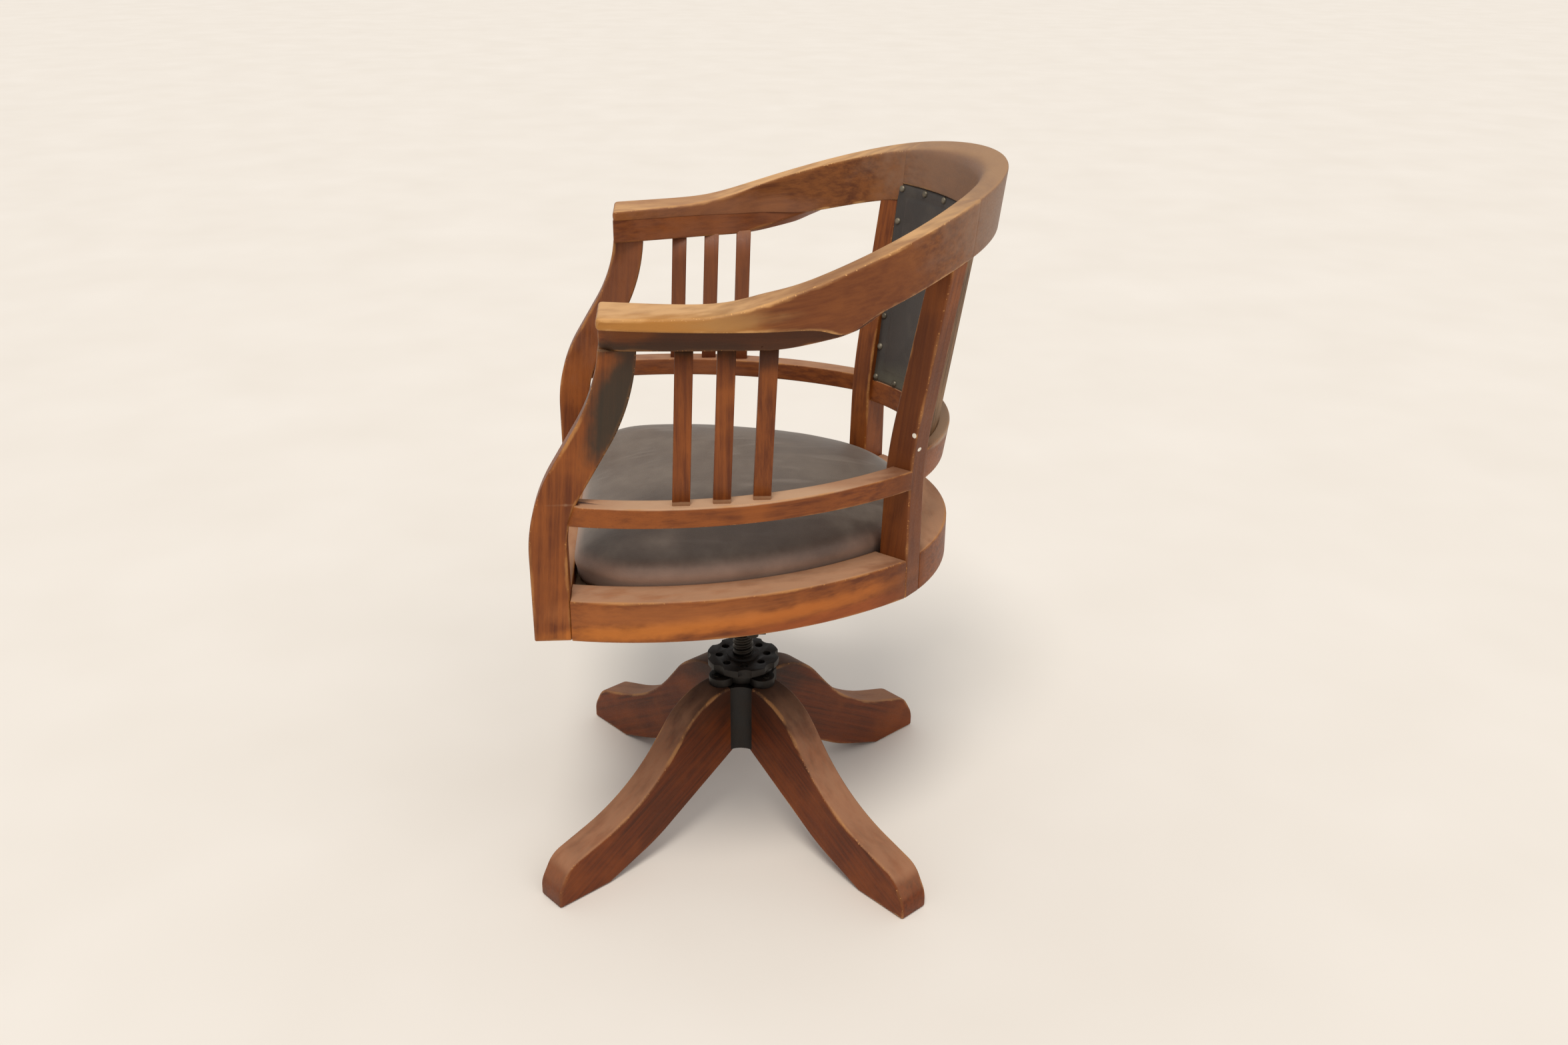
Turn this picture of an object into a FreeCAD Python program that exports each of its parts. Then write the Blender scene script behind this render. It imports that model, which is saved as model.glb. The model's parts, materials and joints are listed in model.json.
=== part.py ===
import FreeCAD, Part
import math
import os
import Sketcher
from types import SimpleNamespace

V = FreeCAD.Vector

# Driving sizes of the chair in millimetres and degrees.
# The floor is z = 0, the swivel axis is Z, the front faces -Y and the sitter's left is +X.
SIZES = {
    # base: four legs round an iron column
    "base_turn": -6.65,
    "leg_width": 44.4,
    "leg_top": 216,
    "leg_reach": 336,
    "leg_shoulder_out": 92,
    "leg_shoulder_round": 100,
    "leg_knee_out": 191.4,
    "leg_knee_up": 95.7,
    "leg_knee_round": 254,
    "leg_toe_out": 317,
    "leg_toe_up": 56,
    "leg_toe_round": 35,
    "leg_heel_out": 256,
    "leg_arch_out": 175,
    "leg_arch_up": 31,
    "leg_arch_round": 250,
    "leg_root_up": 112,
    "column_out": 42.7,
    "column_cove_round": 27,
    "column_wall": 14.7,
    "column_low": 118,
    "stud_radius": 4,
    "stud_up": 152,
    "stud_end": 82,
    "nut_across": 10,
    "nut_thick": 4,
    "nut_washer_room": 1,
    "nut_set_out": 0.4,
    "flange_thick": 12,
    "flange_radius": 34,
    "flange_lobe_radius": 17,
    "flange_lobe_out": 40,
    "flange_boss_radius": 31,
    "flange_boss_height": 1,
    "flange_screw_radius": 4.5,
    "flange_screw_shank": 2.2,
    "flange_screw_depth": 24,
    "flange_screw_set_out": 5.3,
    "bush_height": 20,
    "running_clearance": 0.05,
    "sleeve_radius": 22,
    "washer_thick": 1.5,
    "washer_radius": 27,
    "collar_thick": 4,
    "collar_radius": 26,
    # wheel and lift screw
    "screw_radius": 14,
    "thread_depth": 1.8,
    "thread_pitch": 8,
    "screw_low": 130,
    "screw_high": 412,
    "keyway_depth": 3,
    "key_width": 4.9,
    "key_low": 172,
    "key_high": 220,
    "key_into_sleeve": 3,
    "key_tip_clearance": 0.3,
    "wheel_radius": 50,
    "wheel_thick": 9,
    "wheel_hub_radius": 22,
    "wheel_height": 12,
    "wheel_skirt_radius": 44,
    "wheel_skirt_wall": 5,
    "wheel_skirt_drop": 5,
    "wheel_scallop_radius": 13,
    "wheel_scallop_out": 58,
    "wheel_hole_radius": 5.5,
    "wheel_hole_out": 33,
    "wheel_lobes": 8,
    # seat iron
    "iron_hub_low": 372,
    "iron_hub_radius": 26,
    "iron_arm_width": 30,
    "iron_arm_thick": 8,
    "iron_arm_set_in": 18,
    "iron_bolt_radius": 3.5,
    "iron_bolt_head": 7,
    "iron_bolt_head_height": 5,
    "iron_bolt_depth": 30,
    "iron_bolt_side_in": 26,
    "iron_bolt_front_in": 20,
    "iron_bolt_back_in": 22.5,
    "iron_bolt_end": 10,
    # seat frame
    "seat_top": 474,
    "rail_height": 52,
    "rail_width": 46,
    "frame_half_width": 274,
    "frame_back_of_front": -210,
    "front_rail_depth": 38,
    "side_rail_round": 517,
    "board_low": 444,
    "board_thick": 12,
    "pad_clearance": 1.5,
    "block_size": 62,
    "block_height": 20,
    "block_clearance": 1,
    "block_apart": 12.4,
    "block_back_in": 13.5,
    # rear posts
    "rear_post_turn": 48.3,
    "rear_post_width": 31,
    "rear_post_set_in": 5.5,
    "rear_post_depth": 42,
    "rear_post_bend_up": 603,
    "rear_post_bend_depth": 36,
    "rear_post_high": 850,
    "rear_post_high_set_in": 5.1,
    "rear_post_high_depth": 29.5,
    "rear_post_bend_round": 600,
    # front posts
    "front_post_set_in": 1,
    "front_post_thick": 30,
    "front_post_front": -253,
    "front_post_knee_up": 585,
    "front_post_neck_up": 731,
    "front_post_round": 205,
    "front_post_back_knee_up": 571,
    "front_post_back_knee_round": 140,
    "front_post_back_neck_up": 717,
    "front_post_back_neck_round": 245,
    "front_post_neck_depth": 41,
    # upper side rails and slats
    "upper_rail_low": 567.5,
    "upper_rail_height": 24,
    "upper_rail_width": 28,
    "upper_rail_front_proud": 1,
    "upper_rail_round": 490,
    "upper_rail_proud": 3,
    "slat_width": 20,
    "slat_thick": 12,
    "slat_first": -81,
    "slat_pitch": 45.4,
    "slat_rake": 7,
    "slat_tenon": 8,
    # bow
    "arm_front": -165,
    "arm_top": 811,
    "arm_rise": 0.012,
    "bow_radius": 318,
    "bow_climb_start": -31,
    "bow_climb": 0.34,
    "bow_climb_blend": 40,
    "bow_ease_start": 250,
    "bow_ease": 0.12,
    "bow_ease_blend": 40,
    "arm_outer_round": 756,
    "arm_waist_width": 49,
    "arm_flare": 0.29,
    "arm_flare_start": -22,
    "arm_flare_blend": 20,
    "bow_depth": 33,
    "bow_inner_blend": 7,
    "arm_under": 799,
    "under_climb_start": 108,
    "under_climb": 0.335,
    "under_climb_blend": 25,
    "under_ease_start": 225,
    "under_ease": 0.16,
    "under_ease_blend": 30,
    "under_swell": 8,
    "under_swell_at": 95,
    "under_swell_blend": 25,
    "bow_lean": 0.12,
    "bow_joint_turn": 53,
    "dowel_radius": 5,
    "dowel_length": 44,
    "under_rail_low": 767.5,
    "under_rail_set_in": 36,
    "under_rail_spread": 0.06,
    "under_rail_width": 16,
    "under_rail_into_arm": 7,
    "under_rail_step": 0.5,
    "under_rail_end": 100,
    "under_rail_climb_start": 25,
    "under_rail_climb": 0.42,
    "under_rail_climb_blend": 30,
    "under_rail_twist": 0.14,
    "under_rail_twist_blend": 20,
    # back panel
    "panel_set_in": 60.6,
    "panel_radius_up": 700,
    "panel_lean": 0.149,
    "panel_low": 591.5,
    "panel_high": 858,
    "panel_thick": 5,
    "back_board_thick": 4,
    "mid_rail_low": 562,
    "mid_rail_high": 606,
    "mid_rail_back": 14,
    "nail_radius": 4,
    "nail_inset": 6,
    "nail_clearance": 0.15,
    "nail_pitch": 41,
    # seat pad
    "pad_edge_up": 486,
    "pad_shoulder_up": 507,
    "pad_crown_up": 532,
    "pad_draw_in": 5,
    "pad_shoulder_in": 27,
    "pad_crown_in": 190,
}


class Size:
    """A size with its value and the formula that gives it from the sheet."""

    def __init__(self, value, text):
        self.value = float(value)
        self.text = text

    def __add__(self, other):
        return joined(self, "+", other)

    def __radd__(self, other):
        return joined(other, "+", self)

    def __sub__(self, other):
        return joined(self, "-", other)

    def __rsub__(self, other):
        return joined(other, "-", self)

    def __mul__(self, other):
        return joined(self, "*", other)

    def __rmul__(self, other):
        return joined(other, "*", self)

    def __truediv__(self, other):
        return joined(self, "/", other)

    def __neg__(self):
        return joined(0, "-", self)

    def __float__(self):
        return self.value


def plain(number):
    """A bare number as a size."""
    return number if isinstance(number, Size) else Size(number, "(%g)" % number)


def joined(first, sign, second):
    """Two sizes joined by an arithmetic sign."""
    first = plain(first)
    second = plain(second)
    a = first.value
    b = second.value
    value = {"+": a + b, "-": a - b, "*": a * b, "/": a / b if b else 0}[sign]
    return Size(value, "(%s %s %s)" % (first.text, sign, second.text))


def cosine(angle):
    return Size(math.cos(math.radians(angle.value)), "cos(%s)" % angle.text)


def sine(angle):
    return Size(math.sin(math.radians(angle.value)), "sin(%s)" % angle.text)


def root(size):
    return Size(math.sqrt(size.value), "sqrt(%s)" % size.text)


doc = FreeCAD.newDocument("bankers_chair")
sheet = doc.addObject("Spreadsheet::Sheet", "sizes")
for row, (alias, number) in enumerate(SIZES.items(), 1):
    sheet.set("A%d" % row, alias)
    sheet.set("B%d" % row, str(number))
    sheet.setAlias("B%d" % row, alias)
doc.recompute()
s = SimpleNamespace(**{alias: Size(sheet.get(alias), "sizes." + alias) for alias in SIZES})
nodes = []


def bind(thing, path, size):
    """Ties one property of an object to a formula on the sheet."""
    thing.setExpression(path, plain(size).text)


def place(thing, x=None, y=None, z=None, turn=None):
    """Moves an object, and turns it about Z, by formulas on the sheet."""
    if turn is not None:
        thing.Placement = FreeCAD.Placement(V(0, 0, 0), FreeCAD.Rotation(V(0, 0, 1), plain(turn).value))
        bind(thing, "Placement.Rotation.Angle", turn)
    for path, size in (("x", x), ("y", y), ("z", z)):
        if size is not None:
            bind(thing, "Placement.Base." + path, size)


def node(thing):
    """Marks an object as one finished piece of the chair."""
    nodes.append(thing)
    return thing


def cylinder(name, radius, low, high):
    """An upright cylinder on the swivel axis."""
    thing = doc.addObject("Part::Cylinder", name)
    bind(thing, "Radius", radius)
    bind(thing, "Height", high - low)
    place(thing, z=low)
    return thing


def rod(name, radius, length, start, along):
    """A cylinder from a start point along a direction."""
    thing = doc.addObject("Part::Cylinder", name)
    bind(thing, "Radius", radius)
    bind(thing, "Height", length)
    thing.Placement = FreeCAD.Placement(start, FreeCAD.Rotation(V(0, 0, 1), along))
    return thing


def box(name, x0, x1, y0, y1, z0, z1):
    """A box between two corners."""
    thing = doc.addObject("Part::Box", name)
    bind(thing, "Length", x1 - x0)
    bind(thing, "Width", y1 - y0)
    bind(thing, "Height", z1 - z0)
    place(thing, x0, y0, z0)
    return thing


def cut(name, base, tool):
    thing = doc.addObject("Part::Cut", name)
    thing.Base = base
    thing.Tool = tool
    return thing


def fused(name, parts):
    thing = doc.addObject("Part::MultiFuse", name)
    thing.Shapes = parts
    return thing


def group(name, parts):
    """Separate solids kept together under one name."""
    thing = doc.addObject("Part::Compound", name)
    thing.Links = parts
    return thing


def ring(name, outer, inner, low, high):
    """A plain ring on the swivel axis."""
    core = cylinder(name + "_core", inner, low - 1, high + 1)
    return cut(name, cylinder(name + "_blank", outer, low, high), core)


def mirrored(name, source):
    """The piece for the other side of the chair."""
    thing = doc.addObject("Part::Mirroring", name)
    thing.Source = source
    thing.Normal = V(1, 0, 0)
    return thing


def feature(name, shape):
    """A piece whose surfaces are lofted."""
    thing = doc.addObject("Part::Feature", name)
    thing.Shape = shape
    return thing


def loft(rings, ruled=False):
    """A solid through closed rings of straight edges."""
    wires = [Part.makePolygon(list(points) + [points[0]]) for points in rings]
    return Part.makeLoft(wires, True, ruled, False, 3)


def body(name):
    return doc.addObject("PartDesign::Body", name)


def origin_of(owner, role):
    return [part for part in owner.Origin.OriginFeatures if part.Role == role][0]


def new_sketch(owner, role, offset=None):
    sketch = owner.newObject("Sketcher::SketchObject", owner.Name + "_sketch")
    sketch.AttachmentSupport = [(origin_of(owner, role), "")]
    sketch.MapMode = "FlatFace"
    if offset is not None:
        bind(sketch, "AttachmentOffset.Base.z", offset)
    return sketch


def corner(x, y, rounding=None, arc=None):
    """A corner of an outline, its rounding, and the radius of a curved edge that leaves it.

    A positive arc has its centre on the left of the way to the next corner.
    """
    return SimpleNamespace(x=plain(x), y=plain(y), rounding=rounding, arc=arc)


def arc_piece(start, end, centre):
    """The shorter arc between two points, with the numbers of its start and end."""
    a = math.atan2(start.y - centre.y, start.x - centre.x)
    b = math.atan2(end.y - centre.y, end.x - centre.x)
    turn = (b - a + math.pi) % (2 * math.pi) - math.pi
    circle = Part.Circle(centre, V(0, 0, 1), (start - centre).Length)
    if turn > 0:
        return Part.ArcOfCircle(circle, a, a + turn), 1, 2
    return Part.ArcOfCircle(circle, b, b - turn), 2, 1


def fix_point(sketch, geometry, end, x, y):
    for kind, size in (("DistanceX", x), ("DistanceY", y)):
        number = sketch.addConstraint(Sketcher.Constraint(kind, -1, 1, geometry, end, size.value))
        sketch.setExpression("Constraints[%d]" % number, size.text)


def fix_radius(sketch, geometry, size):
    number = sketch.addConstraint(Sketcher.Constraint("Radius", geometry, abs(size.value)))
    sketch.setExpression("Constraints[%d]" % number, size.text)


def outline(owner, role, corners, offset=None):
    """A closed sketch through corners, each tied to the sheet."""
    sketch = new_sketch(owner, role, offset)
    count = len(corners)
    points = [V(c.x.value, c.y.value, 0) for c in corners]
    leaving = list(points)
    arriving = list(points)
    centres = {}
    for i, c in enumerate(corners):
        if c.rounding is None:
            continue
        back = (points[i - 1] - points[i]).normalize()
        ahead = (points[(i + 1) % count] - points[i]).normalize()
        half = back.getAngle(ahead) / 2
        run = c.rounding.value / math.tan(half)
        arriving[i] = points[i] + back * run
        leaving[i] = points[i] + ahead * run
        centres[i] = points[i] + (back + ahead).normalize() * (c.rounding.value / math.sin(half))
    edges = []
    for i, c in enumerate(corners):
        start = leaving[i]
        end = arriving[(i + 1) % count]
        if c.arc is None:
            edges.append((sketch.addGeometry(Part.LineSegment(start, end)), 1, 2))
            continue
        chord = end - start
        radius = c.arc.value
        rise = math.sqrt(radius * radius - chord.Length ** 2 / 4)
        left = V(-chord.y, chord.x, 0).normalize()
        centre = (start + end) * 0.5 + left * math.copysign(rise, radius)
        piece, first, last = arc_piece(start, end, centre)
        edges.append((sketch.addGeometry(piece), first, last))
    for i, c in enumerate(corners):
        edge, edge_start, _ = edges[i]
        before, _, before_end = edges[i - 1]
        if c.rounding is None:
            sketch.addConstraint(Sketcher.Constraint("Coincident", before, before_end, edge, edge_start))
            fix_point(sketch, edge, edge_start, c.x, c.y)
            continue
        piece, first, last = arc_piece(arriving[i], leaving[i], centres[i])
        bend = sketch.addGeometry(piece)
        tip = sketch.addGeometry(Part.Point(points[i]), True)
        sketch.addConstraint(Sketcher.Constraint("PointOnObject", tip, 1, before))
        sketch.addConstraint(Sketcher.Constraint("PointOnObject", tip, 1, edge))
        sketch.addConstraint(Sketcher.Constraint("Tangent", before, before_end, bend, first))
        sketch.addConstraint(Sketcher.Constraint("Tangent", bend, last, edge, edge_start))
        fix_point(sketch, tip, 1, c.x, c.y)
        fix_radius(sketch, bend, c.rounding)
    for i, c in enumerate(corners):
        if c.arc is not None:
            fix_radius(sketch, edges[i][0], c.arc if c.arc.value > 0 else -c.arc)
    return sketch


def disc(owner, radius, out, offset):
    """A sketch of one circle, at a distance along X from the axis."""
    sketch = new_sketch(owner, "XY_Plane", offset)
    circle = sketch.addGeometry(Part.Circle(V(plain(out).value, 0, 0), V(0, 0, 1), radius.value))
    fix_point(sketch, circle, 3, plain(out), plain(0))
    fix_radius(sketch, circle, radius)
    return sketch


def pad(owner, sketch, length, both=False):
    """Material raised from a sketch."""
    thing = owner.newObject("PartDesign::Pad", owner.Name + "_pad")
    thing.Profile = sketch
    bind(thing, "Length", length)
    if both:
        thing.SideType = "Symmetric"
    return thing


def pocket(owner, sketch, length):
    """Material cut upwards from a sketch."""
    thing = owner.newObject("PartDesign::Pocket", owner.Name + "_pocket")
    thing.Profile = sketch
    thing.Reversed = True
    bind(thing, "Length", length)
    return thing


def around(owner, original, count):
    """Copies of one feature evenly round the axis."""
    doc.recompute()
    thing = owner.newObject("PartDesign::PolarPattern", owner.Name + "_pattern")
    thing.Originals = [original]
    thing.Axis = (origin_of(owner, "Z_Axis"), [""])
    thing.Angle = 360
    bind(thing, "Occurrences", count)
    owner.Tip = thing
    return thing


def swept(owner, sketch, angle):
    """A profile turned about Z, half to each side of the sketch."""
    thing = owner.newObject("PartDesign::Revolution", owner.Name + "_turned")
    thing.Profile = sketch
    thing.ReferenceAxis = (origin_of(owner, "Z_Axis"), [""])
    thing.Midplane = True
    bind(thing, "Angle", angle)
    return thing


# Levels and edges that several pieces share
frame_low = s.seat_top - s.rail_height
flange_top = s.leg_top + s.flange_thick
boss_top = flange_top + s.flange_boss_height
bush_radius = s.column_out - s.column_wall
collar_low = boss_top + s.washer_thick
collar_top = collar_low + s.collar_thick
wheel_low = collar_top + s.washer_thick
bore_radius = s.screw_radius + s.running_clearance
upper_rail_top = s.upper_rail_low + s.upper_rail_height
opening_half = s.frame_half_width - s.rail_width
post_half = s.rear_post_width / 2
rear_post_out = s.frame_half_width - s.rear_post_set_in
rear_post_high_out = s.bow_radius - s.rear_post_high_set_in
front_post_outer = s.frame_half_width - s.front_post_set_in
upper_rail_outer = s.frame_half_width + s.upper_rail_front_proud
bow_inner = s.bow_radius - s.bow_depth
arm_waist = s.bow_radius - s.arm_waist_width
panel_radius = s.bow_radius - s.panel_set_in
post_cos = cosine(s.rear_post_turn)
post_sin = sine(s.rear_post_turn)


def on_post(out, side):
    """A plan point from its distance along and across the rear post's own axis."""
    return out * post_cos - side * post_sin, out * post_sin + side * post_cos


# Legs, and the cast column with a flat pad for each and a cove between them
leg_turns = {"leg_front_left": -45, "leg_rear_left": 45, "leg_rear_right": 135, "leg_front_right": 225}
leg_studs = []
leg_nuts = []
flange_screws = []
stud_start = bush_radius - s.nut_thick - s.nut_washer_room
for name, quarter in leg_turns.items():
    turn = s.base_turn + quarter
    aim = FreeCAD.Rotation(V(0, 0, 1), turn.value)
    stud = rod(name + "_stud", s.stud_radius, s.stud_end - stud_start,
               aim.multVec(V(stud_start.value, 0, s.stud_up.value)), aim.multVec(V(1, 0, 0)))
    leg_studs.append(stud)
    nut_in = stud_start + s.nut_set_out
    half_nut = s.nut_across / 2
    nut_block = doc.addObject("Part::Box", name + "_nut_block")
    bind(nut_block, "Length", s.nut_thick)
    bind(nut_block, "Width", s.nut_across)
    bind(nut_block, "Height", s.nut_across)
    place(nut_block, nut_in * cosine(turn) + half_nut * sine(turn), nut_in * sine(turn) - half_nut * cosine(turn),
          s.stud_up - half_nut, turn)
    leg_nuts.append(cut(name + "_nut", nut_block, stud))
    at = aim.multVec(V(s.column_out.value + s.flange_screw_set_out.value, 0, 0))
    head = rod(name + "_screw_head", s.flange_screw_radius, s.flange_screw_radius * 0.5,
               at + V(0, 0, flange_top.value), V(0, 0, 1))
    shank = rod(name + "_screw_shank", s.flange_screw_shank, s.flange_screw_depth,
                at + V(0, 0, flange_top.value - s.flange_screw_depth.value), V(0, 0, 1))
    screw = fused(name + "_screw", [head, shank])
    flange_screws.append(screw)
    leg = body(name + "_body")
    profile = outline(leg, "XZ_Plane", [
        corner(s.column_out, s.leg_top),
        corner(s.leg_shoulder_out, s.leg_top, s.leg_shoulder_round),
        corner(s.leg_knee_out, s.leg_knee_up, s.leg_knee_round),
        corner(s.leg_toe_out, s.leg_toe_up, s.leg_toe_round),
        corner(s.leg_reach, s.leg_toe_up * 0.4, s.leg_toe_round),
        corner(s.leg_reach, 0),
        corner(s.leg_heel_out, 0),
        corner(s.leg_arch_out, s.leg_arch_up, s.leg_arch_round),
        corner(s.column_out, s.leg_root_up),
    ])
    pad(leg, profile, s.leg_width, both=True)
    place(leg, turn=turn)
    drilled = cut(name + "_drilled", leg, stud)
    node(cut(name, drilled, screw))
node(group("leg_bolts", leg_studs))
node(group("leg_bolt_nuts", leg_nuts))
node(group("flange_screws", flange_screws))
half_leg = s.leg_width / 2
column_corners = []
for far_x, far_y in ((1, 1), (-1, 1), (-1, -1), (1, -1)):
    pair = [corner(s.column_out * far_x, half_leg * far_y), corner(half_leg * far_x, s.column_out * far_y)]
    if far_x != far_y:
        pair.reverse()
    pair[0].arc = -s.column_cove_round
    column_corners += pair
column = body("column_tube_body")
pad(column, outline(column, "XY_Plane", column_corners, s.column_low), s.leg_top - s.column_low)
pocket(column, disc(column, bush_radius, 0, s.column_low), s.leg_top - s.column_low)
place(column, turn=s.base_turn + 45)
node(cut("column_tube", column, doc.getObject("leg_bolts")))

flange = body("leg_flange_body")
pad(flange, disc(flange, s.flange_radius, 0, s.leg_top), s.flange_thick)
lobe = pad(flange, disc(flange, s.flange_lobe_radius, s.flange_lobe_out, s.leg_top), s.flange_thick)
around(flange, lobe, 4)
pad(flange, disc(flange, s.flange_boss_radius, 0, flange_top), s.flange_boss_height)
pocket(flange, disc(flange, bush_radius, 0, s.leg_top), s.flange_thick + s.flange_boss_height)
place(flange, turn=s.base_turn + 45)
node(cut("leg_flange", flange, doc.getObject("flange_screws")))

bush_bore = s.sleeve_radius + s.running_clearance
node(ring("column_top_bush", bush_radius, bush_bore, boss_top - s.bush_height, boss_top))
node(ring("column_bottom_bush", bush_radius, bush_bore, s.column_low, s.column_low + s.bush_height))
node(ring("lower_thrust_washer", s.washer_radius, bush_bore, boss_top, collar_low))

# Sleeve, key and washer that turn with the seat
sleeve_tube = ring("sleeve_tube", s.sleeve_radius, bore_radius, s.column_low, collar_top)
sleeve_collar = ring("sleeve_collar", s.collar_radius, bore_radius, collar_low, collar_top)
key_out = bore_radius + s.key_into_sleeve
key_in = s.screw_radius - s.keyway_depth + s.key_tip_clearance
key = node(box("guide_key", key_in, key_out, -s.key_width / 2, s.key_width / 2, s.key_low, s.key_high))
node(cut("guide_sleeve", fused("sleeve_blank", [sleeve_tube, sleeve_collar]), key))
node(ring("upper_thrust_washer", s.collar_radius, bore_radius, collar_top, wheel_low))

# Hand wheel
wheel = body("hand_wheel_body")
skirt_low = wheel_low - s.wheel_skirt_drop
pad(wheel, disc(wheel, s.wheel_radius, 0, wheel_low), s.wheel_thick)
scallop = pocket(wheel, disc(wheel, s.wheel_scallop_radius, s.wheel_scallop_out, wheel_low), s.wheel_thick)
around(wheel, scallop, s.wheel_lobes)
hole = pocket(wheel, disc(wheel, s.wheel_hole_radius, s.wheel_hole_out, wheel_low), s.wheel_thick)
around(wheel, hole, s.wheel_lobes)
pad(wheel, disc(wheel, s.wheel_skirt_radius, 0, skirt_low), s.wheel_skirt_drop)
pocket(wheel, disc(wheel, s.wheel_skirt_radius - s.wheel_skirt_wall, 0, skirt_low), s.wheel_skirt_drop)
pad(wheel, disc(wheel, s.wheel_hub_radius, 0, wheel_low), s.wheel_height)
pocket(wheel, disc(wheel, bore_radius, 0, wheel_low), s.wheel_height)
wheel.Label = "hand_wheel"
node(wheel)


def screw_shape():
    """The lift screw's outline turned about its axis, with one ridge to each turn of thread."""
    crest = s.screw_radius.value
    groove = crest - s.thread_depth.value
    pitch = s.thread_pitch.value
    low = s.screw_low.value
    turns = int((s.iron_hub_low.value - low) / pitch)
    points = [V(0, 0, low), V(groove, 0, low)]
    for turn in range(turns):
        level = low + turn * pitch
        points += [V(groove, 0, level + 0.2 * pitch), V(crest, 0, level + 0.4 * pitch)]
        points += [V(crest, 0, level + 0.7 * pitch), V(groove, 0, level + 0.9 * pitch)]
    points += [V(groove, 0, s.iron_hub_low.value - 1), V(crest, 0, s.iron_hub_low.value)]
    points += [V(crest, 0, s.screw_high.value), V(0, 0, s.screw_high.value)]
    face = Part.Face(Part.makePolygon(points + [points[0]]))
    return face.revolve(V(0, 0, 0), V(0, 0, 1), 360)


keyway_half = s.key_width / 2 + s.running_clearance
keyway = box("keyway", s.screw_radius - s.keyway_depth, s.screw_radius + 2, -keyway_half, keyway_half,
             s.screw_low - 1, s.iron_hub_low)
node(cut("lift_screw", feature("screw_blank", screw_shape()), keyway))

# Seat frame
side_rail = body("side_seat_rail_body")
end_out = on_post(rear_post_out, -post_half)
end_in = on_post(rear_post_out - s.rail_width, -post_half)
pad(side_rail, outline(side_rail, "XY_Plane", [
    corner(s.frame_half_width, s.frame_back_of_front, arc=s.side_rail_round),
    corner(*end_out),
    corner(*end_in, arc=s.rail_width - s.side_rail_round),
    corner(opening_half, s.frame_back_of_front),
], frame_low), s.rail_height)

front_post_inner = front_post_outer - s.front_post_thick
front_rail = box("front_seat_rail_blank", -front_post_inner, front_post_inner,
                 s.frame_back_of_front - s.front_rail_depth, s.frame_back_of_front, frame_low, s.seat_top)

back_rail = body("back_seat_rail_body")
back_out = on_post(rear_post_out, post_half)
back_in = on_post(rear_post_out - s.rail_width, post_half)
back_outer_round = root(rear_post_out * rear_post_out + post_half * post_half)
back_in_reach = rear_post_out - s.rail_width
back_inner_round = root(back_in_reach * back_in_reach + post_half * post_half)
pad(back_rail, outline(back_rail, "XY_Plane", [
    corner(*back_out, arc=back_outer_round),
    corner(-back_out[0], back_out[1]),
    corner(-back_in[0], back_in[1], arc=-back_inner_round),
    corner(*back_in),
], frame_low), s.rail_height)

# Seat iron with its bolts
arm_low = frame_low - s.iron_arm_thick
iron_half = s.iron_arm_width / 2
hub = cylinder("iron_hub", s.iron_hub_radius, s.iron_hub_low, frame_low)
arm_end = s.frame_half_width - s.iron_arm_set_in
bolt_side = s.frame_half_width - s.iron_bolt_side_in
bolt_front = s.frame_back_of_front - s.iron_bolt_front_in
bolt_back = rear_post_out - s.iron_bolt_back_in
cross = box("iron_cross", -arm_end, arm_end, -iron_half, iron_half, arm_low, frame_low)
bar = box("iron_bar", -iron_half, iron_half, bolt_front - s.iron_bolt_end, bolt_back + s.iron_bolt_end,
          arm_low, frame_low)
socket = cylinder("iron_socket", s.screw_radius, s.iron_hub_low - 1, s.screw_high)
bolts = []
for name, x, y in (("left", bolt_side, 0), ("right", -bolt_side, 0), ("front", 0, bolt_front), ("back", 0, bolt_back)):
    head = cylinder(name + "_bolt_head", s.iron_bolt_head, arm_low - s.iron_bolt_head_height, arm_low)
    shank = cylinder(name + "_bolt_shank", s.iron_bolt_radius, arm_low - 1, arm_low + s.iron_bolt_depth)
    for part in (head, shank):
        place(part, plain(x), plain(y))
    bolts.append(fused(name + "_iron_bolt", [head, shank]))
iron_bolts = node(group("seat_iron_bolts", bolts))
iron = cut("seat_iron_bored", fused("seat_iron_blank", [hub, cross, bar]), socket)
node(cut("seat_iron", iron, iron_bolts))
node(cut("side_seat_rail_left", side_rail, doc.getObject("left_iron_bolt")))
node(mirrored("side_seat_rail_right", doc.getObject("side_seat_rail_left")))
node(cut("front_seat_rail", front_rail, doc.getObject("front_iron_bolt")))
node(cut("back_seat_rail", back_rail, doc.getObject("back_iron_bolt")))


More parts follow.
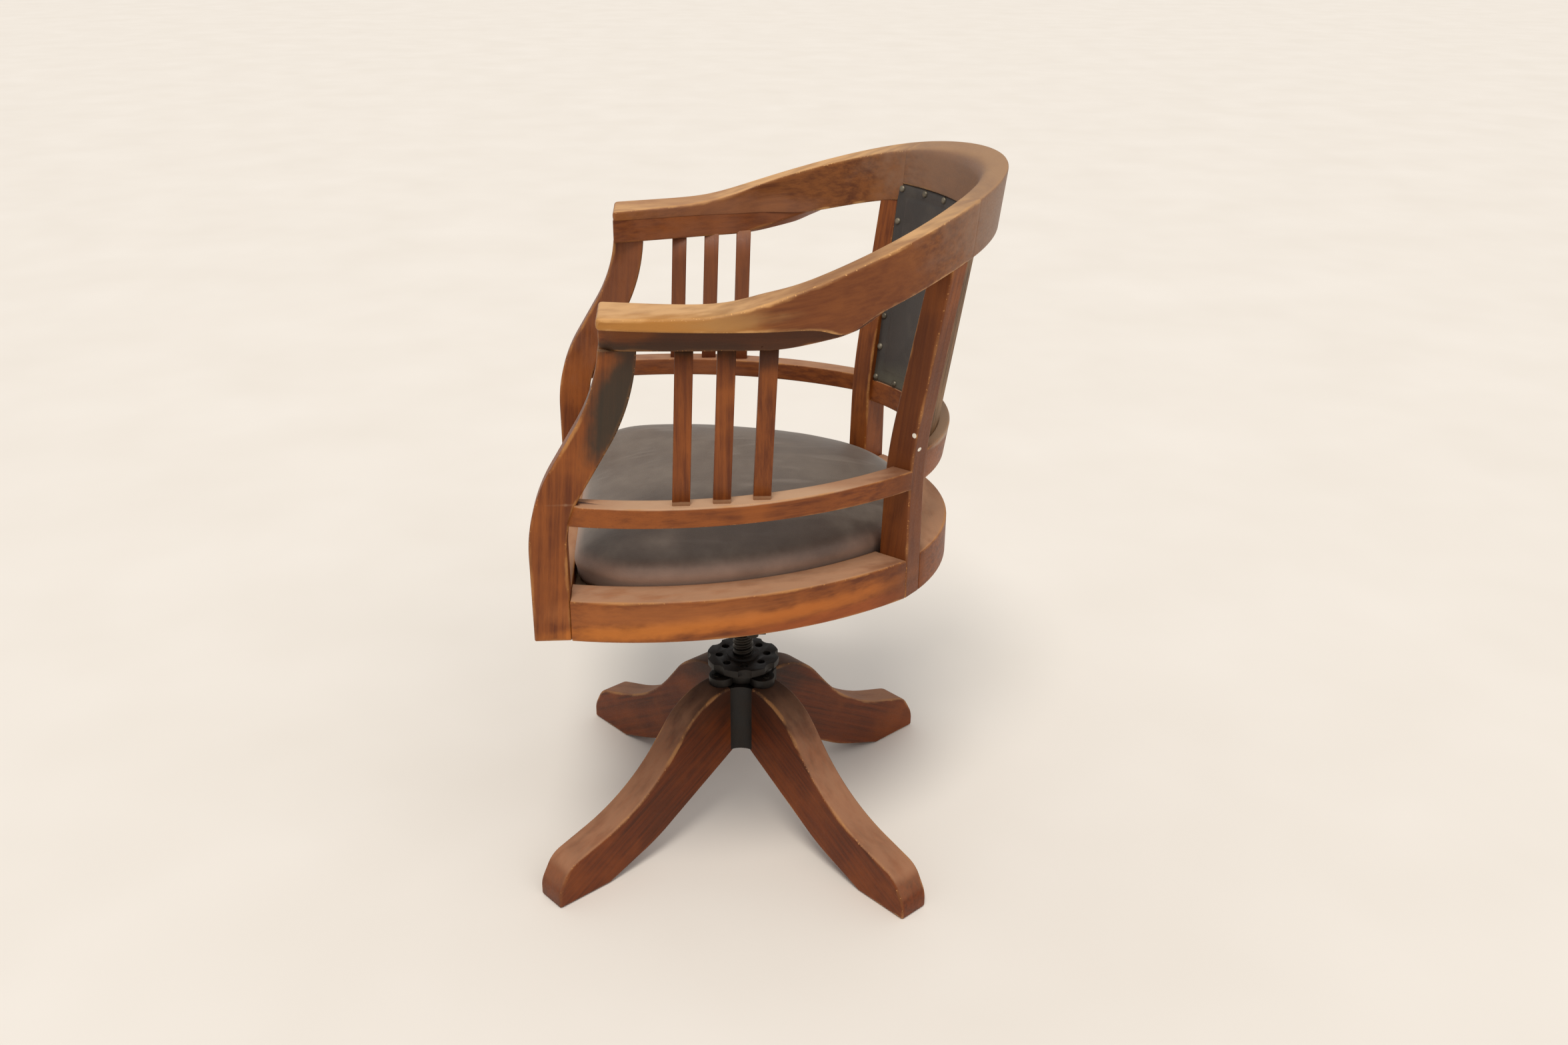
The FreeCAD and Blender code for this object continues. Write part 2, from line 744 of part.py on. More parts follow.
def opening_ring(inset, level):
    """The seat opening drawn in by an inset: a front line, two side arcs and a back arc."""
    front = s.frame_back_of_front.value + inset
    ax = s.frame_half_width.value
    ay = s.frame_back_of_front.value
    bx = end_out[0].value
    by = end_out[1].value
    chord = math.hypot(bx - ax, by - ay)
    rise = math.sqrt(s.side_rail_round.value ** 2 - chord ** 2 / 4)
    side_x = (ax + bx) / 2 + rise * (ay - by) / chord
    side_y = (ay + by) / 2 + rise * (bx - ax) / chord
    side = s.side_rail_round.value - s.rail_width.value - inset
    back = back_inner_round.value - inset
    apart = math.hypot(side_x, side_y)
    along = (side ** 2 - back ** 2 + apart ** 2) / (2 * apart)
    across = math.sqrt(side ** 2 - along ** 2)
    ux = -side_x / apart
    uy = -side_y / apart
    meet = V(side_x + along * ux - across * uy, side_y + along * uy + across * ux, level)
    if meet.x < 0 or meet.y < 0:
        meet = V(side_x + along * ux + across * uy, side_y + along * uy - across * ux, level)
    foot = V(side_x + math.sqrt(side ** 2 - (front - side_y) ** 2), front, level)
    centre = V(side_x, side_y, level)
    middle = centre + (foot + meet - centre * 2).normalize() * side
    other = [V(-point.x, point.y, level) for point in (foot, middle, meet)]
    return Part.Wire([
        Part.LineSegment(other[0], foot).toShape(),
        Part.Arc(foot, middle, meet).toShape(),
        Part.Arc(meet, V(0, back, level), other[2]).toShape(),
        Part.Arc(other[2], other[1], other[0]).toShape(),
    ])


board_top = s.board_low + s.board_thick
board_wire = opening_ring(s.pad_clearance.value / 2, s.board_low.value)
node(feature("seat_board", Part.Face(board_wire).extrude(V(0, 0, s.board_thick.value))))
pad_gap = s.pad_clearance.value
pad_rings = [
    opening_ring(pad_gap + s.pad_draw_in.value, board_top.value + 0.3),
    opening_ring(pad_gap, s.seat_top.value),
    opening_ring(pad_gap + s.pad_draw_in.value, s.pad_edge_up.value),
]
crown_steps = 5
for step in range(crown_steps + 1):
    share = step / crown_steps
    inset = s.pad_shoulder_in.value + (s.pad_crown_in.value - s.pad_shoulder_in.value) * share
    rise = (s.pad_crown_up.value - s.pad_shoulder_up.value) * (1 - (1 - share) ** 3)
    pad_rings.append(opening_ring(pad_gap + inset, s.pad_shoulder_up.value + rise))
node(feature("seat_pad", Part.makeLoft(pad_rings, True)))

block_low = s.board_low - s.block_height
front_edge = s.frame_back_of_front
blocks = []
for name, x, y in (("front_left", opening_half - s.block_size - s.block_clearance, front_edge),
                   ("front_right", -opening_half + s.block_clearance, front_edge)):
    blocks.append(box("block_" + name, x, x + s.block_size, y, y + s.block_size, block_low, s.board_low))
back_y = back_inner_round - s.block_size - s.block_back_in
for name, x in (("back_left", s.block_apart), ("back_right", -s.block_apart - s.block_size)):
    blocks.append(box("block_" + name, x, x + s.block_size, back_y, back_y + s.block_size,
                      block_low, s.board_low))
node(group("corner_blocks", blocks))


# Bow of two arms and a crest, from curves that the side view and the plan give
def ramp(distance, blend):
    """Rises from 0 to the distance itself, with a rounded start."""
    return (distance + math.hypot(distance, blend.value)) / 2


def bow_top(y):
    """Height of the bow's upper face: level arm, climb, then an easier slope to the crest."""
    level = s.arm_top.value + s.arm_rise.value * (y - s.arm_front.value)
    climb = s.bow_climb.value * ramp(y - s.bow_climb_start.value, s.bow_climb_blend)
    return level + climb - s.bow_ease.value * ramp(y - s.bow_ease_start.value, s.bow_ease_blend)


def bow_under(y):
    """Height of the bow's lower face."""
    climb = s.under_climb.value * ramp(y - s.under_climb_start.value, s.under_climb_blend)
    return s.arm_under.value + climb - s.under_ease.value * ramp(y - s.under_ease_start.value, s.under_ease_blend)


def under_outer(y):
    """Height of the bow's lower outer edge, which swells down where the arm turns up."""
    swell = math.exp(-((y - s.under_swell_at.value) / s.under_swell_blend.value) ** 2)
    return bow_under(y) - s.under_swell.value * swell


def inner_radius(turn):
    """Inner edge of the bow, narrower beside the seat."""
    waist = bow_inner.value - arm_waist.value
    return bow_inner.value - waist * math.exp(-(turn / s.bow_inner_blend.value) ** 2)


def arm_inner(y):
    """Inner edge of the flat arm, which narrows towards the back."""
    start = s.arm_flare_start.value
    widening = ramp(start - y, s.arm_flare_blend) - ramp(start, s.arm_flare_blend)
    return arm_waist.value - s.arm_flare.value * widening


def arm_outer(y):
    """Outer edge of the flat arm, a flat arc."""
    sweep = s.arm_outer_round.value
    return s.bow_radius.value - sweep + math.sqrt(sweep ** 2 - y ** 2)


def turned_ring(turn):
    """Four corners of the bow's section at an angle from +X."""
    aim = V(math.cos(math.radians(turn)), math.sin(math.radians(turn)), 0)
    lean = s.bow_lean.value * aim.y
    inner = inner_radius(min(turn, 180 - turn))
    outer = s.bow_radius.value
    corners = []
    for radius, low in ((inner, bow_under), (outer, under_outer), (outer, None), (inner, None)):
        top = bow_top(radius * aim.y)
        if low is None:
            corners.append(aim * radius + V(0, 0, top))
            continue
        reach = radius - lean * (top - bow_under(radius * aim.y))
        corners.append(aim * reach + V(0, 0, low(radius * aim.y)))
    return corners


def flat_ring(y):
    """Four corners of the flat arm's section."""
    return [V(arm_inner(y), y, bow_under(y)), V(arm_outer(y), y, under_outer(y)),
            V(arm_outer(y), y, bow_top(y)), V(arm_inner(y), y, bow_top(y))]


joint = s.bow_joint_turn.value
front = s.arm_front.value
flat_steps = 6
turned_steps = 10
arm_rings = [flat_ring(front * (1 - step / flat_steps)) for step in range(flat_steps)]
arm_rings += [turned_ring(joint * step / turned_steps) for step in range(turned_steps + 1)]
crest_span = 180 - 2 * joint
crest_rings = [turned_ring(joint + crest_span * step / 8) for step in range(9)]
arm_blank = feature("arm_left_blank", loft(arm_rings))
crest_blank = feature("crest_rail_blank", loft(crest_rings))

dowels = []
joint_aim = V(math.cos(math.radians(joint)), math.sin(math.radians(joint)), 0)
joint_along = V(-joint_aim.y, joint_aim.x, 0)
for name, share in (("low", 0.5), ("high", 0.8)):
    section = turned_ring(joint)
    inner = section[0] + (section[3] - section[0]) * share
    outer = section[1] + (section[2] - section[1]) * share
    start = (inner + outer) * 0.5 - joint_along * (s.dowel_length.value / 2)
    left_dowel = rod("dowel_left_" + name, s.dowel_radius, s.dowel_length, start, joint_along)
    dowels += [left_dowel, mirrored("dowel_right_" + name, left_dowel)]
bow_dowels = node(group("bow_dowels", dowels))

# Back panel, its board and the rail below it, let into the bow between the rear posts
panel_half_turn = 90 - s.rear_post_turn


def panel_at(level):
    """Front face of the panel at a level."""
    return panel_radius + s.panel_lean * (level - s.panel_radius_up)


def curved_slab(name, corners):
    """A curved piece between the rear posts, wide enough to be cut to them."""
    thing = body(name)
    swept(thing, outline(thing, "XZ_Plane", corners), panel_half_turn * 2)
    place(thing, turn=plain(90))
    return thing


board_in = s.panel_thick
board_out = s.panel_thick + s.back_board_thick
recess_blank = curved_slab("bow_recess_blank", [
    corner(panel_at(s.panel_low) - s.rail_width, s.panel_low),
    corner(panel_at(s.panel_low) + board_out, s.panel_low),
    corner(panel_at(s.panel_high) + board_out, s.panel_high),
    corner(panel_at(s.panel_high) - s.rail_width, s.panel_high),
])
left_room = box("post_room_left", plain(0), s.bow_radius, plain(0), s.rear_post_width, frame_low, s.panel_high + 1)
place(left_room, *on_post(plain(0), -post_half), frame_low, s.rear_post_turn)
post_room = group("post_room", [left_room, mirrored("post_room_right", left_room)])
recess = cut("bow_recess", recess_blank, post_room)
arm_left = node(cut("arm_left", cut("arm_left_bored", arm_blank, bow_dowels), recess))
arm_right = node(mirrored("arm_right", arm_left))
leather = curved_slab("back_panel_body", [
    corner(panel_at(s.panel_low), s.panel_low),
    corner(panel_at(s.panel_low) + board_in, s.panel_low),
    corner(panel_at(s.panel_high) + board_in, s.panel_high),
    corner(panel_at(s.panel_high), s.panel_high),
])
backing = curved_slab("back_board_body", [
    corner(panel_at(s.panel_low) + board_in, s.panel_low),
    corner(panel_at(s.panel_low) + board_out, s.panel_low),
    corner(panel_at(s.panel_high) + board_out, s.panel_high),
    corner(panel_at(s.panel_high) + board_in, s.panel_high),
])
mid_rail = curved_slab("mid_back_rail_body", [
    corner(panel_at(s.mid_rail_low), s.mid_rail_low),
    corner(panel_at(s.mid_rail_low) + board_out + s.mid_rail_back, s.mid_rail_low),
    corner(panel_at(s.mid_rail_high) + board_out + s.mid_rail_back, s.mid_rail_high),
    corner(panel_at(s.mid_rail_high) + board_out, s.mid_rail_high),
    corner(panel_at(s.panel_low) + board_out, s.panel_low),
    corner(panel_at(s.panel_low), s.panel_low),
])
crest_open = cut("crest_rail_open", crest_blank, bow_dowels)
node(cut("crest_rail", crest_open, recess))

# Rear posts, cut to the arms above them
rear_post = body("rear_post_body")
high_in = rear_post_high_out - s.rear_post_high_depth
pad(rear_post, outline(rear_post, "XZ_Plane", [
    corner(rear_post_out, frame_low),
    corner(rear_post_out, s.rear_post_bend_up, s.rear_post_bend_round),
    corner(rear_post_high_out, s.rear_post_high),
    corner(high_in, s.rear_post_high),
    corner(rear_post_out - s.rear_post_bend_depth, s.rear_post_bend_up, s.rear_post_bend_round),
    corner(rear_post_out - s.rear_post_depth, frame_low),
]), s.rear_post_width, both=True)
place(rear_post, turn=s.rear_post_turn)
rear_left = node(cut("rear_post_left", rear_post, arm_left))
node(mirrored("rear_post_right", rear_left))
node(cut("back_panel", leather, post_room))
node(cut("back_board", backing, post_room))
node(cut("mid_back_rail", mid_rail, post_room))


# Under-arm rails, front posts, upper side rails and slats
def under_rail_inner(y):
    """Inner face of the under-arm rail: flush with the arm, then straight."""
    straight = s.bow_radius.value - s.under_rail_set_in.value - s.under_rail_width.value
    return min(arm_inner(min(y, 0)) + s.under_rail_step.value, straight)


def under_rail_outer(y):
    return s.bow_radius.value - s.under_rail_set_in.value + s.under_rail_spread.value * y


def under_rail_low(y):
    climb = ramp(y - s.under_rail_climb_start.value, s.under_rail_climb_blend)
    return s.under_rail_low.value + s.under_rail_climb.value * climb


def under_rail_ring(y):
    """Four corners of the rail, its lower outer edge dropping as it turns up under the arm."""
    top = s.arm_under.value + s.under_rail_into_arm.value
    low = under_rail_low(y)
    low_outer = low - s.under_rail_twist.value * ramp(y, s.under_rail_twist_blend)
    return [V(under_rail_inner(y), y, low), V(under_rail_outer(y), y, low_outer),
            V(under_rail_outer(y), y, top), V(under_rail_inner(y), y, top)]


rail_end = s.under_rail_end.value
rail_rings = [under_rail_ring(front + (rail_end - front) * step / 8) for step in range(9)]
under_rail_blank = feature("under_arm_rail_blank", loft(rail_rings))


def upper_rail_middle(y):
    """Middle line of the upper side rail in plan."""
    ax = upper_rail_outer.value
    ay = s.frame_back_of_front.value
    bx = upper_end_out[0].value
    by = upper_end_out[1].value
    chord = math.hypot(bx - ax, by - ay)
    rise = math.sqrt(s.upper_rail_round.value ** 2 - chord ** 2 / 4)
    cx = (ax + bx) / 2 + rise * (ay - by) / chord
    cy = (ay + by) / 2 + rise * (bx - ax) / chord
    radius = s.upper_rail_round.value - s.upper_rail_width.value / 2
    return cx + math.sqrt(radius ** 2 - (y - cy) ** 2)


upper_end_out = on_post(rear_post_out + s.upper_rail_proud, -post_half)
upper_end_in = on_post(rear_post_out + s.upper_rail_proud - s.upper_rail_width, -post_half)
upper_rail = body("upper_side_rail_body")
pad(upper_rail, outline(upper_rail, "XY_Plane", [
    corner(upper_rail_outer, s.frame_back_of_front, arc=s.upper_rail_round),
    corner(*upper_end_out),
    corner(*upper_end_in, arc=s.upper_rail_width - s.upper_rail_round),
    corner(upper_rail_outer - s.upper_rail_width, s.frame_back_of_front),
], s.upper_rail_low), s.upper_rail_height)

front_post = body("front_post_body")
pad(front_post, outline(front_post, "YZ_Plane", [
    corner(s.front_post_front, frame_low),
    corner(s.frame_back_of_front, frame_low),
    corner(s.frame_back_of_front, s.front_post_back_knee_up, s.front_post_back_knee_round),
    corner(s.arm_front + s.front_post_neck_depth, s.front_post_back_neck_up, s.front_post_back_neck_round),
    corner(s.arm_front + s.front_post_neck_depth, s.arm_top),
    corner(s.arm_front, s.arm_top),
    corner(s.arm_front, s.front_post_neck_up, s.front_post_round),
    corner(s.front_post_front, s.front_post_knee_up, s.front_post_round),
], front_post_inner), s.front_post_thick)
trim = box("front_post_trim", front_post_inner - 5, front_post_outer + 5,
           s.arm_front - 5, s.arm_front + s.front_post_neck_depth + 40, s.under_rail_low, s.arm_top + 5)
front_left = node(cut("front_post_left", front_post, trim))
node(mirrored("front_post_right", front_left))

slats = []
for number, name in enumerate(("front", "middle", "rear")):
    low_y = s.slat_first.value + number * s.slat_pitch.value
    high_y = low_y + s.slat_rake.value
    low_z = upper_rail_top.value
    high_z = under_rail_low(high_y)
    low_x = upper_rail_middle(low_y)
    high_x = (under_rail_inner(high_y) + under_rail_outer(high_y)) / 2
    foot = V(low_x, low_y, low_z)
    head = V(high_x, high_y, high_z)
    step = (head - foot) * (s.slat_tenon.value / (high_z - low_z))
    across = V(0, s.slat_width.value / 2, 0)
    through = V(s.slat_thick.value / 2, 0, 0)
    ends = [foot - step, head + step]
    shape = loft([[at - across - through, at - across + through, at + across + through, at + across - through]
                  for at in ends], True)
    slat = node(feature("slat_%s_left" % name, shape))
    slats.append(slat)
    node(mirrored("slat_%s_right" % name, slat))
slat_group = group("slat_group", slats)
under_rail_fitted = cut("under_arm_rail_fitted", under_rail_blank, arm_left)
node(cut("under_arm_rail_left", under_rail_fitted, slat_group))
node(mirrored("under_arm_rail_right", doc.getObject("under_arm_rail_left")))
upper_rail_fitted = cut("upper_side_rail_fitted", upper_rail, front_left)
node(cut("upper_side_rail_left", upper_rail_fitted, slat_group))
node(mirrored("upper_side_rail_right", doc.getObject("upper_side_rail_left")))


# Domed nails along the panel's four edges
def nail_at(turn, level):
    """One nail head on the panel's front face."""
    out = panel_at(Size(level, "level")).value - s.nail_clearance.value
    aim = V(math.cos(math.radians(turn)), math.sin(math.radians(turn)), 0)
    normal = V(-aim.x, -aim.y, s.panel_lean.value).normalize()
    centre = aim * out + V(0, 0, level)
    head = Part.makeSphere(s.nail_radius.value, V(0, 0, 0), V(0, 0, 1), 0, 90, 360)
    head.Placement = FreeCAD.Placement(centre, FreeCAD.Rotation(V(0, 0, 1), normal))
    return head


post_edge = math.degrees(math.asin(post_half.value / panel_radius.value))
edge_turn = s.rear_post_turn.value + post_edge + math.degrees(s.nail_inset.value / panel_radius.value)
low_row = s.panel_low.value + s.nail_inset.value
high_row = s.panel_high.value - s.nail_inset.value
side_count = round((high_row - low_row) / s.nail_pitch.value)
row_turn = 180 - 2 * edge_turn
row_count = round(math.radians(row_turn) * panel_radius.value / s.nail_pitch.value)
heads = []
for step in range(row_count + 1):
    for level in (low_row, high_row):
        heads.append(nail_at(edge_turn + row_turn * step / row_count, level))
for step in range(1, side_count):
    for turn in (edge_turn, 180 - edge_turn):
        heads.append(nail_at(turn, low_row + (high_row - low_row) * step / side_count))
node(feature("back_nails", Part.Compound(heads)))

# Checks, then one file for each piece
doc.recompute()
for thing in doc.Objects:
    if "Invalid" in thing.State or "Error" in thing.State:
        raise RuntimeError("%s failed: %s" % (thing.Name, thing.State))
os.makedirs("parts", exist_ok=True)
for thing in nodes:
    if thing.Shape.isNull() or not thing.Shape.isValid():
        raise RuntimeError("%s has no valid shape" % thing.Label)
for thing in nodes:
    thing.Shape.exportStep("parts/%s.step" % thing.Label)
    box_of = thing.Shape.BoundBox
    print("%-22s solids %2d volume %10.0f  x %7.1f %7.1f  y %7.1f %7.1f  z %6.1f %6.1f" % (
        thing.Label, len(thing.Shape.Solids), thing.Shape.Volume, box_of.XMin, box_of.XMax,
        box_of.YMin, box_of.YMax, box_of.ZMin, box_of.ZMax))
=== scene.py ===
import json
import bmesh
import bpy
import numpy as np
from mathutils import Matrix


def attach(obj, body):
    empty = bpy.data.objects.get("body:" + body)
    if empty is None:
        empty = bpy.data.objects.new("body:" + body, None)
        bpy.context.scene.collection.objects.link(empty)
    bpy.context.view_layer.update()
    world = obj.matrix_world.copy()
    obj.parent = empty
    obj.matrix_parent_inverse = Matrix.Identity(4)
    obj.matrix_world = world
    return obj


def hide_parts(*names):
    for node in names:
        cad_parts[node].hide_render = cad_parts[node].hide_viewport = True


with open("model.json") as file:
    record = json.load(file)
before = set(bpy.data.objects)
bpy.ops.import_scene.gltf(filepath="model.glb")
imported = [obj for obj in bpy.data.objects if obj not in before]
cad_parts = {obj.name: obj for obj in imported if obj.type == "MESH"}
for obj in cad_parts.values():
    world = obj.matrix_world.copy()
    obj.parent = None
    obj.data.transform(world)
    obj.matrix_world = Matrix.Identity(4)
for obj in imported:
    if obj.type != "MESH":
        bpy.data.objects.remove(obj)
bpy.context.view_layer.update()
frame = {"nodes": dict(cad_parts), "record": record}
metres = 0.001  # lengths are in millimetres, in the part's frame; the camera's and the floor's are in metres
print("frame loaded:", len(frame["nodes"]), "nodes")

# the camera looks down on the chair's left side; its angles are in radians and the lights' in degrees
camera = {"place": (1.7323, -0.0812, 1.2194), "yaw": -0.0788, "pitch": 0.4200, "roll": 0.0081,
          "lens": 32.71, "sensor": 36.0}
light = {"sky": 0.56, "skyColour": "#fffdfa",
         "key": 1.65, "keyColour": "#fff8ee", "keyTurn": (28, 6, 66), "keySpread": 20,
         "fill": 0.4, "fillColour": "#fffaf4", "fillTurn": (46, 0, 128), "fillSpread": 40}
floor = {"reach": 40.0, "level": -0.0006, "colour": "#e6e0d8", "background": "#efeae4", "speckle": 3.0,
         "roughness": 0.8}


def linear(hexColour):
    # sRGB hex to the linear colour that a socket takes
    parts = np.array([int(hexColour[start:start + 2], 16) for start in (1, 3, 5)]) / 255
    return (*np.where(parts <= 0.04045, parts / 12.92, ((parts + 0.055) / 1.055) ** 2.4).tolist(), 1.0)


def addNode(tree, kind, inputs=None, **settings):
    # a node with its settings; each input is a value, an sRGB hex colour, or a socket that it is linked from
    node = tree.nodes.new("ShaderNode" + kind)
    for name, value in settings.items():
        setattr(node, name, value)
    for socket, value in (inputs or {}).items():
        if isinstance(value, bpy.types.NodeSocket):
            tree.links.new(value, node.inputs[socket])
        else:
            node.inputs[socket].default_value = linear(value) if isinstance(value, str) else value
    return node


def toolsFor(tree):
    # short ways to add the nodes that the materials share
    def node(kind, inputs=None, **settings):
        return addNode(tree, kind, inputs, **settings)

    def ranged(value, low, high, toLow=0.0, toHigh=1.0, ease="SMOOTHSTEP"):
        # takes a value from one range to another
        return node("MapRange", {0: value, 1: low, 2: high, 3: toLow, 4: toHigh}, interpolation_type=ease).outputs[0]

    def mixed(factor, first, second):
        return node("Mix", {0: factor, 6: first, 7: second}, data_type="RGBA").outputs[2]

    def added(first, share, second):
        # a share of the first value on top of the second
        return node("Math", {0: first, 1: share, 2: second}, operation="MULTIPLY_ADD").outputs[0]

    return node, ranged, mixed, added


def newMaterial(name):
    material = bpy.data.materials.new(name)
    material.use_nodes = True
    material.node_tree.nodes.clear()
    return material, toolsFor(material.node_tree)


# ---- wood ----
# features across and along the grain; pores are drawn wider than real ones, so that they show
woodFigure = {"pore": (0.9, 15), "ring": (5.5, 210), "blotch": 85, "speck": 2.6, "rub": (18, 40), "patch": (48, 110),
              "ringRange": (0.30, 0.66), "relief": 0.2, "ringRelief": 0.8, "nickRelief": -0.8}
# layers of stain: the noise, the values between which it sets in, its share and its colour
woodLayers = [("blotch", 0.42, 0.70, 0.7, "light"), ("blotch", 0.46, 0.28, 0.35, "dark"),
              ("pore", 0.56, 0.74, 0.4, "dark"), ("pore", 0.46, 0.30, 0.15, "light")]
# ranges of noise for dust, rubbed edges, their unbroken stretches, nicks and the uneven gloss
woodAge = {"dust": (0.2, 0.62, 0.6, 1.0), "rubbed": (0.30, 0.58), "stretch": (0.40, 0.62, 0.12, 1.0),
           "nick": (0.58, 0.64), "dustDulls": 0.3, "gloss": (0.3, 0.7), "speckDulls": 0.10}


def colourPatch(centre, radii, colour, strength, soft, rough=0.4, tilt=0.0):
    # a patch of colour in an ellipsoid: how strongly it covers, and how soft and how ragged its border is
    return {"centre": centre, "radii": radii, "colour": colour, "strength": strength, "soft": soft, "rough": rough,
            "tilt": tilt}


legWood = {"dark": "#48200a", "mid": "#692e0c", "light": "#803f14", "worn": "#b07d4c", "dust": "#a3775a",
           "dustAmount": 0.75, "dustFrom": 0.3, "dustTo": 0.8, "roughness": 0.48, "wear": 0.75, "stainsAndPaintedLight": [
               # scuffed, greyish toe tips
               colourPatch((235, -300, 30), (45, 45, 60), "#5d4b40", 0.6, 0.5),
               colourPatch((300, 235, 30), (30, 30, 45), "#8d6a4c", 0.35, 0.5),
               # painted shade round the column: the leg tops near it are drawn dark, where the seat's shadow falls
               colourPatch((0, 0, 220), (120, 120, 60), "#22140d", 0.8, 0.6)]}
frameWood = {"dark": "#5c2b10", "mid": "#80441a", "light": "#955220", "worn": "#b88048", "dust": "#ba9070",
             "dustAmount": 0.74, "dustFrom": 0.55, "dustTo": 0.95, "roughness": 0.43, "wear": 0.7, "stainsAndPaintedLight": [
                 # paler sapwood low on the near seat rail, and a redder strip below it
                 colourPatch((272, -110, 438), (70, 120, 9), "#c4742c", 0.7, 0.6, 0.9, tilt=0.08),
                 colourPatch((250, 65, 445), (90, 150, 9.5), "#bb6a28", 0.65, 0.65, 1.0, tilt=0.06),
                 colourPatch((235, 110, 429), (90, 130, 9), "#964a1e", 0.6, 0.5, 0.5, tilt=0.03),
                 # black polish left on the near front post and its under-arm rail
                 colourPatch((275, -150, 706), (60, 26, 66), "#2e2b22", 0.9, 0.45, 0.6, tilt=-0.35),
                 colourPatch((280, -90, 771), (60, 90, 9), "#2f2a1c", 0.8, 0.5, 0.6),
                 colourPatch((290, 10, 784), (60, 170, 30), "#452816", 0.8, 0.4, 0.5),
                 colourPatch((285, -135, 790), (60, 32, 10), "#7b4416", 0.85, 0.45, 0.6),
                 # darker near rear post, browner front end of the near rail, pale dust on the rails' tops
                 colourPatch((200, 205, 580), (55, 50, 230), "#5d3016", 0.6, 0.5),
                 colourPatch((275, -110, 457), (60, 130, 14), "#a86432", 0.55, 0.6, 0.8),
                 colourPatch((280, 0, 593), (60, 188, 3.4), "#c8a484", 0.7, 0.25, 0.3),
                 colourPatch((0, 240, 604), (135, 90, 7), "#a98f75", 0.75, 0.25),
                 # painted light and sheen: the far side, whose faces turn towards the lamps, is drawn lighter and
                 # greyer
                 colourPatch((-275, -60, 690), (60, 230, 130), "#8a5a42", 0.45, 0.4, 0.6),
                 # white specks on the near rear post
                 colourPatch((187, 192, 636), (60, 2.2, 3.0), "#e9e2d4", 1.0, 0.15, 0.2),
                 colourPatch((187, 200, 616), (60, 2.6, 2.4), "#e9e2d4", 1.0, 0.15, 0.2)]}
bowWood = {"dark": "#5c2f14", "mid": "#814b22", "light": "#955a28", "worn": "#d8a467", "dust": "#d9ab78",
           "dustAmount": 0.92, "dustFrom": 0.45, "dustTo": 0.9, "roughness": 0.42, "wear": 0.9, "stainsAndPaintedLight": [
               # rubbed outer side of the near arm's front end, darker behind, and a worn patch on the arm's top
               colourPatch((318, -110, 803), (30, 110, 16), "#b27a38", 0.85, 0.45, 0.6),
               colourPatch((300, 130, 830), (60, 130, 60), "#6e3818", 0.55, 0.5, 0.5),
               colourPatch((300, -20, 812), (60, 46, 9), "#a37c4e", 0.5, 0.6, 0.9, tilt=0.1)],
           # grey-brown dust over the crest and its rubbed edges; painted light and sheen on the far arm's inner face,
           # which turns towards the lamps and is drawn lighter and greyer
           "over": [colourPatch((-290, -20, 806), (60, 190, 20), "#93644b", 0.5, 0.4, 0.6),
                    colourPatch((0, 335, 905), (320, 170, 100), "#8c6f5b", 0.72, 0.4, 0.4)]}
innerWood = {"dark": "#4b3018", "mid": "#7d5a38", "light": "#94704a", "worn": "#a98a62", "dust": "#8f7c68",
             "dustAmount": 0.5, "dustFrom": 0.5, "dustTo": 0.95, "roughness": 0.62, "wear": 0.3, "stainsAndPaintedLight": []}


# lays patches of colour in ellipsoids over the surface: real stains, and painted shade and light where a list gives
# them
def addStainsAndPaintedLight(tools, place, rub, colour, stainsAndPaintedLight):
    node, ranged, mixed, added = tools
    for patch in stainsAndPaintedLight:
        local = node("Mapping", {"Vector": place, "Location": [metres * c for c in patch["centre"]],
                                 "Rotation": (patch["tilt"], 0, 0), "Scale": [metres * r for r in patch["radii"]]},
                     vector_type="TEXTURE").outputs[0]
        far = node("VectorMath", {0: local}, operation="LENGTH").outputs["Value"]
        ragged = added(ranged(rub, 0.25, 0.75, -0.5, 0.5, ease="LINEAR"), patch["rough"], far)
        cover = ranged(ragged, 1 - patch["soft"], 1 + patch["soft"], patch["strength"], 0.0)
        colour = mixed(cover, colour, patch["colour"])
    return colour


